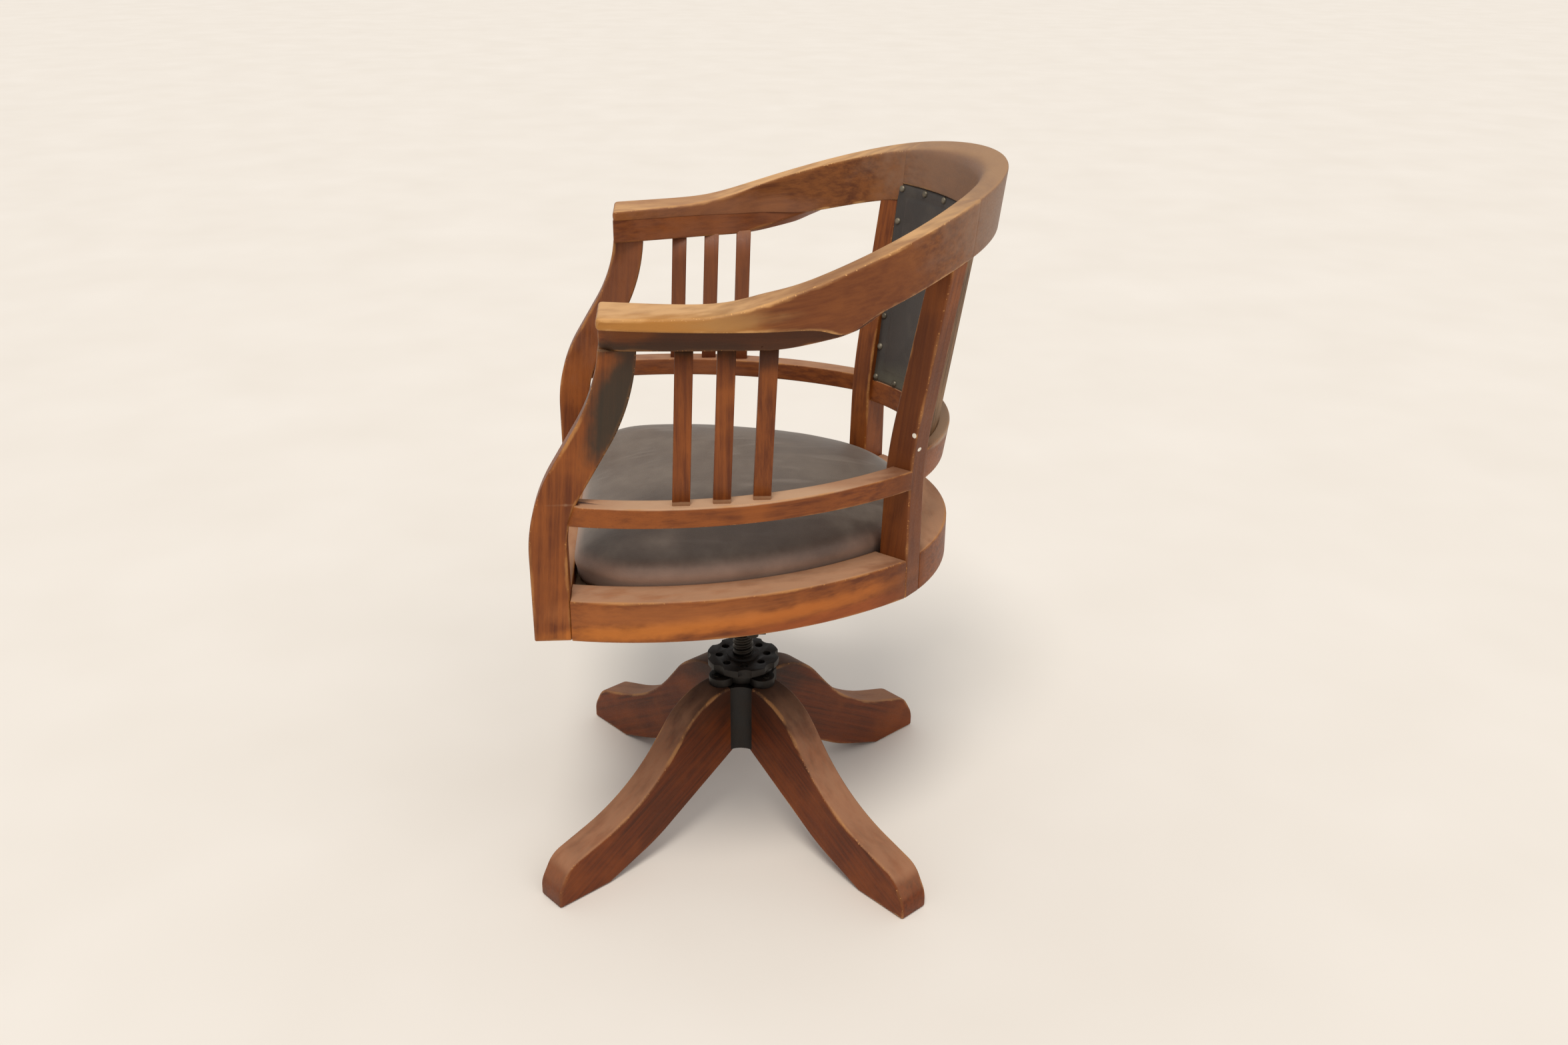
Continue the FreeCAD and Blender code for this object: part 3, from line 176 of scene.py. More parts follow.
def makeWood(name, look, ownGrain=True):
    # hardwood, stained, varnished and old: long open pores and growth rings along the plank, blotchy stain,
    # pale rubbed edges with small nicks, and dust or wear on what faces up
    material, tools = newMaterial(name)
    node, ranged, mixed, added = tools

    def times(first, second):
        return node("Math", {0: first, 1: second}, operation="MULTIPLY").outputs[0]

    def cloud(size, long=None, detail=3.0, rough=0.55):
        # noise with features of a size in millimetres, longer along the grain
        stretch = (1 / (size * metres),) * 2 + (1 / ((long or size) * metres),)
        place = node("Mapping", {"Vector": grain, "Scale": stretch}).outputs[0]
        return node("TexNoise", {"Vector": place, "Scale": 1.0, "Detail": detail, "Roughness": rough}).outputs[0]

    place = node("TexCoord").outputs["Object"]
    grain = node("Attribute", attribute_name="grain").outputs["Vector"] if ownGrain else place
    wear = node("Attribute", attribute_name="wear").outputs["Fac"]
    up = node("SeparateXYZ", {0: node("NewGeometry").outputs["Normal"]}).outputs["Z"]
    noise = {"pore": cloud(*woodFigure["pore"], detail=2.0), "blotch": cloud(woodFigure["blotch"])}
    rings = cloud(*woodFigure["ring"], detail=4.0, rough=0.6)
    speck = cloud(woodFigure["speck"], detail=2.0)
    rub, patch = cloud(*woodFigure["rub"]), cloud(*woodFigure["patch"])

    colour = mixed(ranged(rings, *woodFigure["ringRange"]), look["dark"], look["mid"])
    for layer, low, high, share, shade in woodLayers:
        colour = mixed(times(ranged(noise[layer], low, high), share), colour, look[shade])
    dusty = times(ranged(up, look["dustFrom"], look["dustTo"]), look["dustAmount"])
    dusty = times(dusty, ranged(rub, *woodAge["dust"]))
    colour = mixed(dusty, colour, look["dust"])
    colour = addStainsAndPaintedLight(tools, place, rub, colour, look["stainsAndPaintedLight"])
    # rubbed stretches of the edges, broken where the patches are low
    rubbed = times(ranged(times(wear, rub), *woodAge["rubbed"]), ranged(patch, *woodAge["stretch"]))
    colour = mixed(times(rubbed, look["wear"]), colour, look["worn"])
    nicks = times(ranged(times(wear, speck), *woodAge["nick"]), look["wear"])
    colour = mixed(nicks, colour, look["worn"])
    colour = addStainsAndPaintedLight(tools, place, rub, colour, look.get("over", []))

    gloss = added(dusty, woodAge["dustDulls"], look["roughness"])
    gloss = added(ranged(speck, *woodAge["gloss"]), woodAge["speckDulls"], gloss)
    relief = added(rings, woodFigure["ringRelief"], noise["pore"])
    relief = added(nicks, woodFigure["nickRelief"], relief)
    bump = node("Bump", {"Height": relief, "Distance": woodFigure["relief"] * metres, "Strength": 0.7}).outputs[0]
    surface = node("BsdfPrincipled", {"Base Color": colour, "Roughness": gloss, "Normal": bump, "IOR": 1.5,
                                      "Specular IOR Level": 0.28})  # dust and open pores dull the varnish
    node("OutputMaterial", {0: surface.outputs[0]})
    return material


metalSkin = {"cloud": 22, "range": (0.35, 0.68), "dullRange": (0.3, 0.7), "glossier": 0.1, "duller": 0.12,
             "relief": 0.3}


def makeMetal(name, low, high, roughness, metallic, grit):
    # cast or turned metal: uneven dulled colour with a fine pitted skin, its pits grit millimetres wide
    material, (node, ranged, mixed, added) = newMaterial(name)
    place = node("TexCoord").outputs["Object"]
    broad, fine = (node("TexNoise", {"Vector": place, "Scale": 1 / (size * metres), "Detail": detail}).outputs[0]
                   for size, detail in ((metalSkin["cloud"], 4.0), (grit, 2.0)))
    colour = mixed(ranged(broad, *metalSkin["range"], ease="LINEAR"), low, high)
    dull = ranged(broad, *metalSkin["dullRange"], roughness - metalSkin["glossier"], roughness + metalSkin["duller"],
                  ease="LINEAR")
    bump = node("Bump", {"Height": fine, "Distance": metalSkin["relief"] * metres, "Strength": 0.6}).outputs[0]
    surface = node("BsdfPrincipled", {"Base Color": colour, "Metallic": metallic, "Roughness": dull, "Normal": bump})
    node("OutputMaterial", {0: surface.outputs[0]})
    return material


# size of the dusty cloud, the creases' lengths by axis and their turn, and the ranges of noise and slope for each
hideFigure = {"cloud": 55, "crease": (26, 90, 40), "creaseTurn": 0.5, "cloudRange": (0.35, 0.68),
              "rubRange": (0.54, 0.74), "flankRange": (0.9, 0.45), "dullRange": (0.3, 0.7), "glossier": 0.06,
              "duller": 0.1}


def makeLeather(name, look):
    # finished cowhide, old: fine pebble grain, shallow handling creases, a faint dusty bloom on top
    material, tools = newMaterial(name)
    node, ranged, mixed, added = tools
    place = node("TexCoord").outputs["Object"]
    bloom = node("TexNoise", {"Vector": place, "Scale": 1 / (hideFigure["cloud"] * metres), "Detail": 4.0,
                              "Roughness": 0.6}).outputs[0]
    streak = node("Mapping", {"Vector": place, "Scale": [1 / (size * metres) for size in hideFigure["crease"]],
                              "Rotation": (0, 0, hideFigure["creaseTurn"])}).outputs[0]
    streak = node("TexNoise", {"Vector": streak, "Scale": 1.0, "Detail": 2.0, "Distortion": 0.6}).outputs[0]
    grain = node("TexVoronoi", {"Vector": place, "Scale": 1 / (look["grain"] * metres)},
                 feature="SMOOTH_F1").outputs["Distance"]
    up = node("SeparateXYZ", {0: node("NewGeometry").outputs["Normal"]}).outputs["Z"]
    colour = mixed(ranged(bloom, *hideFigure["cloudRange"], ease="LINEAR"), look["dark"], look["mid"])
    colour = mixed(ranged(streak, *hideFigure["rubRange"], 0.0, look["bloom"]), colour, look["light"])
    colour = mixed(ranged(up, *hideFigure["flankRange"], 0.0, look["flankShare"]), colour, look["flank"])
    colour = addStainsAndPaintedLight(tools, place, bloom, colour, look["stainsAndPaintedLight"])
    dull = ranged(bloom, *hideFigure["dullRange"], look["roughness"] - hideFigure["glossier"],
                  look["roughness"] + hideFigure["duller"], ease="LINEAR")
    height = added(streak, look["crease"], grain)
    bump = node("Bump", {"Height": height, "Distance": look["depth"] * metres, "Strength": 0.55}).outputs[0]
    surface = node("BsdfPrincipled", {"Base Color": colour, "Roughness": dull, "Normal": bump, "IOR": 1.48,
                                      "Sheen Weight": 0.12, "Sheen Roughness": 0.5})
    node("OutputMaterial", {0: surface.outputs[0]})
    return material


seatHide = {"dark": "#63574d", "mid": "#766a5f", "light": "#90857a", "bloom": 0.4, "grain": 1.6, "depth": 0.35,
            "crease": 3.0, "roughness": 0.5, "flank": "#a08271", "flankShare": 0.85, "stainsAndPaintedLight": [
                # painted shadow: a darker band along the pad's near side, where the upper side rail's shadow falls
                colourPatch((185, 10, 515), (60, 240, 30), "#44352d", 0.7, 0.8, 0.8)]}
backHide = {"dark": "#2e2926", "mid": "#3b3430", "light": "#50483f", "bloom": 0.35, "grain": 1.4, "depth": 0.2,
            "crease": 1.2, "roughness": 0.46, "flank": "#2d2926", "flankShare": 0.0, "stainsAndPaintedLight": [
                # greenish dust along the lower edge
                colourPatch((0, 245, 590), (300, 80, 26), "#57533f", 0.65, 0.6, 0.7)]}
materials = {
    "leg_wood": makeWood("stained oak, dusty legs", legWood),
    "frame_wood": makeWood("stained oak, seat frame", frameWood),
    "bow_wood": makeWood("stained oak, rubbed arms", bowWood),
    "inner_wood": makeWood("dark softwood", innerWood, ownGrain=False),
    "cast_iron": makeMetal("black cast iron", "#110d0a", "#231b14", 0.52, 0.35, 2.0),
    "steel": makeMetal("oiled steel", "#2a2622", "#3d3832", 0.42, 0.9, 1.4),
    "bronze": makeMetal("turned bronze", "#6b4e2a", "#8a6a3c", 0.4, 1.0, 1.4),
    "nail_brass": makeMetal("dulled brass nails", "#5d564a", "#8a8272", 0.45, 0.7, 1.2),
    "seat_leather": makeLeather("charcoal seat leather", seatHide),
    "back_leather": makeLeather("black back leather", backHide)}
print("materials made:", len(materials))


# ---- meshes ----
unlimited = 1e6
weld = 0.02  # points nearer than this become one
# how much the flat beside an edge and the ends of an edge's rounding are rubbed; the rounding's middle is 1
edgeWear = {"beside": 0.35, "ends": 0.75, "barEnds": 0.8}


def unit(vectors):
    return vectors / np.maximum(np.linalg.norm(vectors, axis=-1, keepdims=True), 1e-9)


def ramp(distance, width):
    # half of the sum of a distance and its length with the width: level at first, then a straight climb
    return (distance + np.hypot(distance, width)) / 2


def ease(value):
    # from 0 to 1 with level ends
    value = np.clip(value, 0, 1)
    return value * value * (3 - 2 * value)


def gridFaces(rows, columns, closed=True):
    # quads between neighbouring rows of points; a closed row joins its own ends
    row = np.arange(rows - 1)[:, None] * columns
    column = np.arange(columns if closed else columns - 1)[None, :]
    after = (column + 1) % columns
    return (np.stack([row + column, row + after, row + columns + after, row + columns + column], -1)
            .reshape(-1, 4)).tolist()


def wornOver(turn):
    return edgeWear["ends"] + (1 - edgeWear["ends"]) * np.sin(2 * turn)


def addPiece(name, points, faces, slot, body, replaced=(), wear=None, along=None):
    # makes one object at the origin from points in millimetres, with its faces outwards
    mesh = bpy.data.meshes.new(name)
    mesh.from_pydata((np.asarray(points) * metres).tolist(), [], faces)
    if along is not None:
        # the plank's own axes: across, through and along its grain, moved by a lot of their own for each piece
        axis = unit(np.array(along, float))
        across = unit(np.cross(axis, (0.3, 0.2, 1.0) if abs(axis[2]) < 0.8 else (1.0, 0.1, 0.0)))
        through = np.cross(axis, across)
        lot = np.random.default_rng(sum(map(ord, name)) * 7).uniform(-2, 2, 3)
        grain = np.asarray(points) * metres @ np.stack([across, through, axis], 1) + lot
        mesh.attributes.new("grain", "FLOAT_VECTOR", "POINT").data.foreach_set("vector", grain.ravel())
        mesh.attributes.new("wear", "FLOAT", "POINT").data.foreach_set("value", np.asarray(wear, float).ravel())
    shell = bmesh.new()
    shell.from_mesh(mesh)
    bmesh.ops.remove_doubles(shell, verts=shell.verts, dist=weld * metres)
    bmesh.ops.dissolve_degenerate(shell, edges=shell.edges, dist=weld / 2 * metres)
    if shell.calc_volume(signed=True) < 0:
        bmesh.ops.reverse_faces(shell, faces=shell.faces)
    shell.to_mesh(mesh)
    shell.free()
    mesh.shade_smooth()
    mesh.materials.append(materials[slot])
    piece = bpy.data.objects.new(name, mesh)
    bpy.context.scene.collection.objects.link(piece)
    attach(piece, body)
    if replaced:
        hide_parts(*replaced)
    return piece


def arcBetween(start, end, radius, pieces=24):
    # corners on an arc between two points, bulging to the right of the way there when the radius is positive
    start, end = np.array(start, float), np.array(end, float)
    way = end - start
    chord = np.linalg.norm(way)
    left = np.array([-way[1], way[0]]) / chord
    centre = (start + end) / 2 + left * np.copysign(np.sqrt(radius ** 2 - chord ** 2 / 4), radius)
    startTurn, endTurn = (np.arctan2(*(spot - centre)[::-1]) for spot in (start, end))
    turn = (endTurn - startTurn + np.pi) % (2 * np.pi) - np.pi
    angle = startTurn + turn * np.arange(1, pieces) / pieces
    spots = centre + abs(radius) * np.stack([np.cos(angle), np.sin(angle)], 1)
    return [(u, v, 0) for u, v in spots]


def outlineOf(corners, step=4.0):
    # a closed outline from corners (u, v, rounding). For each point it gives the place, the way inwards, how far in
    # that way holds before a rounding has shrunk to nothing, and the way inwards after that
    tips = np.array([c[:2] for c in corners], float)
    if np.sum(tips[:, 0] * np.roll(tips[:, 1], -1) - tips[:, 1] * np.roll(tips[:, 0], -1)) < 0:
        corners, tips = corners[::-1], tips[::-1]
    rows = []
    for i, (tip, rounding) in enumerate(zip(tips, [c[2] for c in corners])):
        arriving, leaving = unit(tip - tips[i - 1]), unit(tips[(i + 1) % len(tips)] - tip)
        turned = np.arctan2(arriving[0] * leaving[1] - arriving[1] * leaving[0], arriving @ leaving)
        miter = np.array([-arriving[1] - leaving[1], arriving[0] + leaving[0]]) / (1 + arriving @ leaving)
        if rounding == 0 or abs(turned) < 0.01:
            rows.append([[*tip, *miter, unlimited, *miter]])
            continue
        run = rounding * np.tan(abs(turned) / 2)
        count = max(3, int(np.ceil(abs(turned) * rounding / step)) + 1)
        angle = np.arctan2(arriving[1], arriving[0]) + turned * np.linspace(0, 1, count)
        inward = np.stack([-np.sin(angle), np.cos(angle)], 1)
        side = np.sign(turned)
        centre = tip - arriving * run + inward[0] * rounding * side
        place = centre - inward * rounding * side
        limit = np.full((count, 1), rounding if side > 0 else unlimited)
        rows.append(np.hstack([place, inward, limit, np.tile(miter, (count, 1))]))
    table = np.vstack(rows)
    return table[:, 0:2], table[:, 2:4], table[:, 4:5], table[:, 5:7]


def slab(corners, width, rounding, axes, origin=(0, 0, 0), plain=9.0):
    # a sawn outline of a width, its edges rounded: the outline carried round a profile of inset and side distance
    place, inward, limit, beyond = outlineOf(corners)
    half = width / 2
    plain = min(plain, half - 0.5)
    turn = np.radians(np.linspace(0, 90, 6))
    out = rounding + (plain - rounding) * 0.4
    side = [half, half, *(half - rounding * (1 - np.cos(turn))), half - out, half - plain]
    inset = [plain, out, *(rounding * (1 - np.sin(turn))), 0, 0]
    worn = [0, edgeWear["beside"], *wornOver(turn), edgeWear["beside"], 0]
    side = np.array(side + [-value for value in side[::-1]])[:, None]
    inset = np.array(inset + inset[::-1])[:, None, None]
    worn = np.array(worn + worn[::-1])[:, None]
    flat = place + inward * np.minimum(inset, limit) + beyond * np.maximum(inset - limit, 0)
    count = len(place)
    uAxis, vAxis, wAxis = (np.array(axis, float) for axis in axes)
    points = np.array(origin) + flat[..., :1] * uAxis + flat[..., 1:] * vAxis + side[..., None] * wAxis
    faces = gridFaces(len(side), count)
    faces += [list(range(count))[::-1], list(range((len(side) - 1) * count, len(side) * count))]
    return points.reshape(-1, 3), faces, np.broadcast_to(worn, (len(side), count)).ravel()


def roundedEnd(radius):
    # distances from an end at which its rounding is drawn, and how far the section shrinks at each
    if not radius:
        return np.zeros(1), np.zeros(1)
    depth = radius * (1 - np.cos(np.radians(np.linspace(0, 90, 5))))
    return depth, radius - np.sqrt(radius ** 2 - (radius - depth) ** 2)


def member(corners, rounding, ends=(0.0, 0.0), arcSteps=5):
    # a bar through stations of section corners, in order round the section: each corner is rounded by its own
    # radius, and each end is rounded over by shrinking the section into it
    corners = np.array(corners, float)
    stations, count = corners.shape[:2]
    middle = corners.mean(1)
    travelled = np.concatenate([[0], np.cumsum(np.linalg.norm(np.diff(middle, axis=0), axis=1))])
    length = travelled[-1]
    first, firstInset = roundedEnd(ends[0])
    last, lastInset = roundedEnd(ends[1])
    inner = travelled[(travelled > ends[0] + 0.5) & (travelled < length - ends[1] - 0.5)]
    along = np.concatenate([first, inner, (length - last)[::-1]])
    shrink = np.concatenate([firstInset, np.zeros(len(inner)), lastInset[::-1]])[:, None]
    flat = corners.reshape(stations, -1)
    table = np.stack([np.interp(along, travelled, column) for column in flat.T], 1).reshape(-1, count, 3)
    radius = np.broadcast_to(np.asarray(rounding, float), (stations, count))
    radius = np.stack([np.interp(along, travelled, column) for column in radius.T], 1)
    # sharp joints and broad roundings are rubbed least
    rubbed = np.clip((radius - 0.6) / 1.2, 0, 1) * np.minimum(1, 5 / radius)
    back = unit(np.roll(table, 1, 1) - table)
    ahead = unit(np.roll(table, -1, 1) - table)
    table = table + (back + ahead) * shrink[..., None]
    radius = np.maximum(radius - shrink, 0.12 * radius)[..., None]
    section, worn = [], []
    for i in range(count):
        after = (i + 1) % count
        for angle in np.linspace(0, np.pi / 2, arcSteps):
            bent = back[:, i] * (1 - np.sin(angle)) + ahead[:, i] * (1 - np.cos(angle))
            section.append(table[:, i] + radius[:, i] * bent)
            worn.append(wornOver(angle) * rubbed[:, i])
        start = section[-1]
        end = table[:, after] + radius[:, after] * back[:, after]
        span = np.linalg.norm(end - start, axis=-1, keepdims=True)
        near, far = np.minimum(3.5, span * 0.2), np.minimum(9, span * 0.4)
        beside, unworn = edgeWear["beside"] * rubbed, 0 * rubbed[:, i]
        for distance, value in ((near, beside[:, i]), (far, unworn), (span / 2, unworn), (span - far, unworn),
                                (span - near, beside[:, after])):
            section.append(start + (end - start) * distance / np.maximum(span, 1e-6))
            worn.append(value)
    points, worn = np.stack(section, 1), np.stack(worn, 1)
    rows, columns = points.shape[:2]
    ended = (shrink[:, 0] > 0) & (max(ends) > 1)
    worn[ended] = np.maximum(worn[ended], edgeWear["barEnds"])
    caps = []
    faces = gridFaces(rows, columns)
    for row, base in ((0, rows * columns), (rows - 1, rows * columns + columns + 1)):
        centre = points[row].mean(0)
        caps += [points[row] * 0.6 + centre * 0.4, centre[None]]
        ring = np.arange(columns)
        after = (ring + 1) % columns
        edge = row * columns
        quads = np.stack([edge + ring, edge + after, base + after, base + ring], 1)
        fan = np.stack([base + ring, base + after, np.full(columns, base + columns)], 1)
        if row == 0:
            quads, fan = quads[:, ::-1], fan[:, ::-1]
        faces += quads.tolist() + fan.tolist()
    points = np.concatenate([points.reshape(-1, 3)] + caps)
    worn = np.concatenate([worn.ravel(), np.zeros(2 * (columns + 1))])
    return points, faces, worn


def woodPiece(node, shape, along, slot="frame_wood", body="seat"):
    # a piece of wood in the place of one node of the part, its grain along a direction
    points, faces, wear = shape
    addPiece(node + "_shaped", points, faces, slot, body, [node], wear=wear, along=along)


def placed(radius, turn, level):
    # points at a radius from the chair's axis, an angle from +X and a level
    return np.stack(np.broadcast_arrays(radius * np.cos(turn), radius * np.sin(turn), level), -1)


def aimed(turn):
    return placed(1, turn, 0 * turn)


xAxis, yAxis, zAxis = np.eye(3)
sides = {"left": 1, "right": -1}  # the sitter's left is +X


# ---- base ----
leg = {"width": 44.4, "rounding": 3.6, "grainOut": 0.86, "grainDown": 0.5,
       "turns": {"front_left": -51.65, "rear_left": 38.35, "rear_right": 128.35, "front_right": 218.35},
       # the inner end reaches into the column's pad, which hides its rounded edges
       "outline": [(30, 216, 1), (92, 216, 100), (191.4, 95.7, 254), (317, 56, 35), (336, 22.4, 35), (336, 0, 3),
                   (256, 0, 2), (175, 31, 250), (30, 119.8, 1)]}
for name, degrees in leg["turns"].items():
    turn = np.radians(degrees)
    outward = aimed(turn)
    axes = (outward, zAxis, np.cross(zAxis, outward))
    woodPiece("leg_" + name, slab(leg["outline"], leg["width"], leg["rounding"], axes),
              outward * leg["grainOut"] - zAxis * leg["grainDown"], "leg_wood", "base")

castings = {"hand_wheel": 1.4, "leg_flange": 0.9}  # edge rounding of the two castings
for name, rounding in castings.items():
    mesh = frame["nodes"][name].data.copy()
    shell = bmesh.new()
    shell.from_mesh(mesh)
    bmesh.ops.remove_doubles(shell, verts=shell.verts, dist=weld / 2 * metres)
    bmesh.ops.dissolve_limit(shell, angle_limit=np.radians(1.0), verts=shell.verts, edges=shell.edges)
    shell.to_mesh(mesh)
    shell.free()
    mesh.materials.clear()
    mesh.materials.append(materials["cast_iron"])
    casting = bpy.data.objects.new(name + "_cast", mesh)
    bpy.context.scene.collection.objects.link(casting)
    soften = casting.modifiers.new("edges", "BEVEL")
    soften.width, soften.segments = rounding * metres, 3
    soften.limit_method, soften.angle_limit = "ANGLE", np.radians(40)
    mesh.shade_smooth()
    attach(casting, "wheel" if name == "hand_wheel" else "base")
    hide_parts(name)

screw = {"radius": 14, "depth": 1.8, "pitch": 8, "low": 130, "threadTop": 372, "high": 412, "row": 0.8, "around": 36,
         "ridgeHalf": 1.7, "flank": 5}
height = np.arange(screw["low"], screw["threadTop"] + 0.1, screw["row"])[:, None]
turn = np.linspace(0, 2 * np.pi, screw["around"], endpoint=False)[None, :]
phase = (height / screw["pitch"] - turn / (2 * np.pi)) % 1.0
# a flat-topped ridge that climbs one pitch in a turn
ridge = np.clip(screw["ridgeHalf"] - np.abs(phase - 0.5) * screw["flank"], 0, 1)
rows = placed(screw["radius"] - screw["depth"] * (1 - ridge), turn, height)
plainTop = placed(screw["radius"], turn, screw["high"])
rows = np.concatenate([rows, plainTop * [1, 1, 0] + [0, 0, screw["threadTop"] + 0.9], plainTop])
count = turn.size
faces = gridFaces(len(rows), count)
faces += [list(range(count))[::-1], list(range((len(rows) - 1) * count, len(rows) * count))]
addPiece("lift_screw_threaded", rows.reshape(-1, 3), faces, "steel", "seat", ["lift_screw"])
print("base made")

# ---- seat frame ----
post = {"turn": 48.3, "width": 31, "out": 268.5, "rounding": 2.6, "grainOut": 0.12}
postTurn = np.radians(post["turn"])
postHalf = post["width"] / 2


def onPost(out, side):
    # plan point from its distance along and across the rear post's own axis
    return out * np.cos(postTurn) - side * np.sin(postTurn), out * np.sin(postTurn) + side * np.cos(postTurn)


seat = {"low": 422, "top": 474, "railWidth": 46, "halfWidth": 274, "front": -210, "frontDepth": 38, "sideRound": 517,
        "rounding": 2.4, "grain": (-83.8, 400.2, 12)}
# the front post's rear edge: where it meets the rail's underside, its rake, and how far back it counts
upper = {"low": 567.5, "top": 591.5, "width": 28, "outer": 275, "round": 490, "proud": 3, "rounding": 1.8,
         "grain": (-83.8, 400.2, 5), "postAt": -205.8, "postRake": 0.35, "postEnd": -190}
frontPost = {"middle": 258, "width": 30, "rounding": 3.2, "top": 768.5, "grain": (0, 0.08, 1),
             "outline": [(-253, 422, 2), (-210, 422, 2), (-210, 571, 140), (-124, 717, 245), (-124, 811, 1),
                         (-165, 811, 1), (-165, 731, 205), (-253, 585, 205)]}
rearPost = [(268.5, 422, 2), (268.5, 603, 600), (311.5, 842, 1), (281.8, 842, 1), (232.5, 603, 600), (226.5, 422, 2)]


def sideRail(halfWidth, width, front, rounding, proud):
    # outline of a curved side rail in plan, between the front post and the rear post's flat
    outer = onPost(post["out"] + proud, -postHalf)
    inner = onPost(post["out"] + proud - width, -postHalf)
    return [(halfWidth, front, 1), *arcBetween((halfWidth, front), outer, rounding), (*outer, 1), (*inner, 1),
            *arcBetween(inner, (halfWidth - width, front), width - rounding), (halfWidth - width, front, 1)]


def mirrored(spot):
    return -spot[0], spot[1]


def levelRail(outline, size, across=xAxis):
    # a rail sawn to an outline in plan
    middle = (0, 0, (size["top"] + size["low"]) / 2)
    return slab(outline, size["top"] - size["low"], size["rounding"], (across, yAxis, zAxis), middle)


for side, sign in sides.items():
    across = xAxis * sign
    points, faces, wear = slab(frontPost["outline"], frontPost["width"], frontPost["rounding"],
                               (yAxis, zAxis, across), across * frontPost["middle"])
    points[:, 2] = np.minimum(points[:, 2], frontPost["top"])  # trimmed just inside the under-arm rail
    woodPiece("front_post_" + side, (points, faces, wear), frontPost["grain"])
    outward = np.array([np.cos(postTurn) * sign, np.sin(postTurn), 0])
    postAxes = (outward, zAxis, np.cross(zAxis, outward))
    woodPiece("rear_post_" + side, slab(rearPost, post["width"], post["rounding"], postAxes),
              outward * post["grainOut"] + zAxis)
    rail = sideRail(seat["halfWidth"], seat["railWidth"], seat["front"], seat["sideRound"], 0)
    woodPiece("side_seat_rail_" + side, levelRail(rail, seat, across), np.array(seat["grain"]) * [sign, 1, 1])
    rail = sideRail(upper["outer"], upper["width"], seat["front"], upper["round"], upper["proud"])
    points, faces, wear = levelRail(rail, upper, across)
    # the rail's front end follows the post's raked rear edge and reaches a little into it
    rear = upper["postAt"] + (points[:, 2] - upper["low"]) * upper["postRake"] - upper["rounding"]
    points[:, 1] = np.where(points[:, 1] < upper["postEnd"], np.maximum(points[:, 1], rear), points[:, 1])
    woodPiece("upper_side_rail_" + side, (points, faces, wear), np.array(upper["grain"]) * [sign, 1, 1])

postInner = frontPost["middle"] - frontPost["width"] / 2
frontEdge = seat["front"] - seat["frontDepth"]
frontOutline = [(-postInner, frontEdge, 1), (postInner, frontEdge, 1), (postInner, seat["front"], 1),
                (-postInner, seat["front"], 1)]
woodPiece("front_seat_rail", levelRail(frontOutline, seat), xAxis)
outerEnd, innerEnd = onPost(post["out"], postHalf), onPost(post["out"] - seat["railWidth"], postHalf)
backOutline = [(*outerEnd, 1), *arcBetween(outerEnd, mirrored(outerEnd), np.hypot(*outerEnd)),
               (*mirrored(outerEnd), 1), (*mirrored(innerEnd), 1),
               *arcBetween(mirrored(innerEnd), innerEnd, -np.hypot(*innerEnd)), (*innerEnd, 1)]
woodPiece("back_seat_rail", levelRail(backOutline, seat), xAxis)
print("seat frame made")

# ---- bow ----
bow = {"front": -165, "outer": 318, "inner": 285, "waist": 269, "waistTurns": 7.0, "joint": 53, "sweep": 756,
       "lean": 0.12, "edge": 3.6, "crestEdge": 15, "crestEdgeTurns": (45, 88), "endRounding": 5, "jointGroove": 0.5,
       "lowEdge": 3.0, "seamEdge": 0.3, "seamGain": 2.1, "seamFrom": 95, "seamOver": 30,
       # heights, with a slope, a place where it starts and how softly for each climb
       "topLevel": 811, "topSlope": 0.012, "topClimb": (0.34, -31, 40), "topEase": (-0.12, 250, 40),
       "underLevel": 799, "underClimb": (0.335, 108, 25), "underEase": (-0.16, 225, 30),
       "swell": 11, "swellAt": 97, "swellWidth": 24, "handWidening": (0.29, 22, 20)}
panel = {"radius": 257.4, "radiusUp": 700, "lean": 0.149, "low": 591.5, "high": 858, "thick": 5, "board": 4,
         "gap": 0.4, "rebateEdges": (2.6, 0.4, 1.0)}


def climb(y, slope, start, soft):
    return slope * ramp(y - start, soft)


def bowTop(y):
    # level arm, a climb that starts softly, then an easier slope to the crest
    level = bow["topLevel"] + bow["topSlope"] * (y - bow["front"])
    return level + climb(y, *bow["topClimb"]) + climb(y, *bow["topEase"])


def bowUnder(y):
    return bow["underLevel"] + climb(y, *bow["underClimb"]) + climb(y, *bow["underEase"])


def bowUnderOuter(y):
    # the lower outer edge swells down where the arm turns up
    return bowUnder(y) - bow["swell"] * np.exp(-((y - bow["swellAt"]) / bow["swellWidth"]) ** 2)


def armInner(y):
    # inner edge of the flat arm, wider towards the front
    slope, start, soft = bow["handWidening"]
    return bow["waist"] - slope * (ramp(-start - y, soft) - ramp(-start, soft))


def waistShare(degrees):
    # how far the arm is still drawn in to its waist, at an angle from +X or its mirror image
    return np.exp(-(np.minimum(degrees, 180 - degrees) / bow["waistTurns"]) ** 2)


def panelAt(level):
    return panel["radius"] + panel["lean"] * (level - panel["radiusUp"])


def flatStations(y):
    outer = bow["outer"] - bow["sweep"] + np.sqrt(bow["sweep"] ** 2 - y ** 2)
    inner, low, top = armInner(y), bowUnder(y), bowTop(y)
    return np.stack([np.stack([inner, y, low], -1), np.stack([outer, y, bowUnderOuter(y)], -1),
                     np.stack([outer, y, top], -1), np.stack([inner, y, top], -1)], 1)


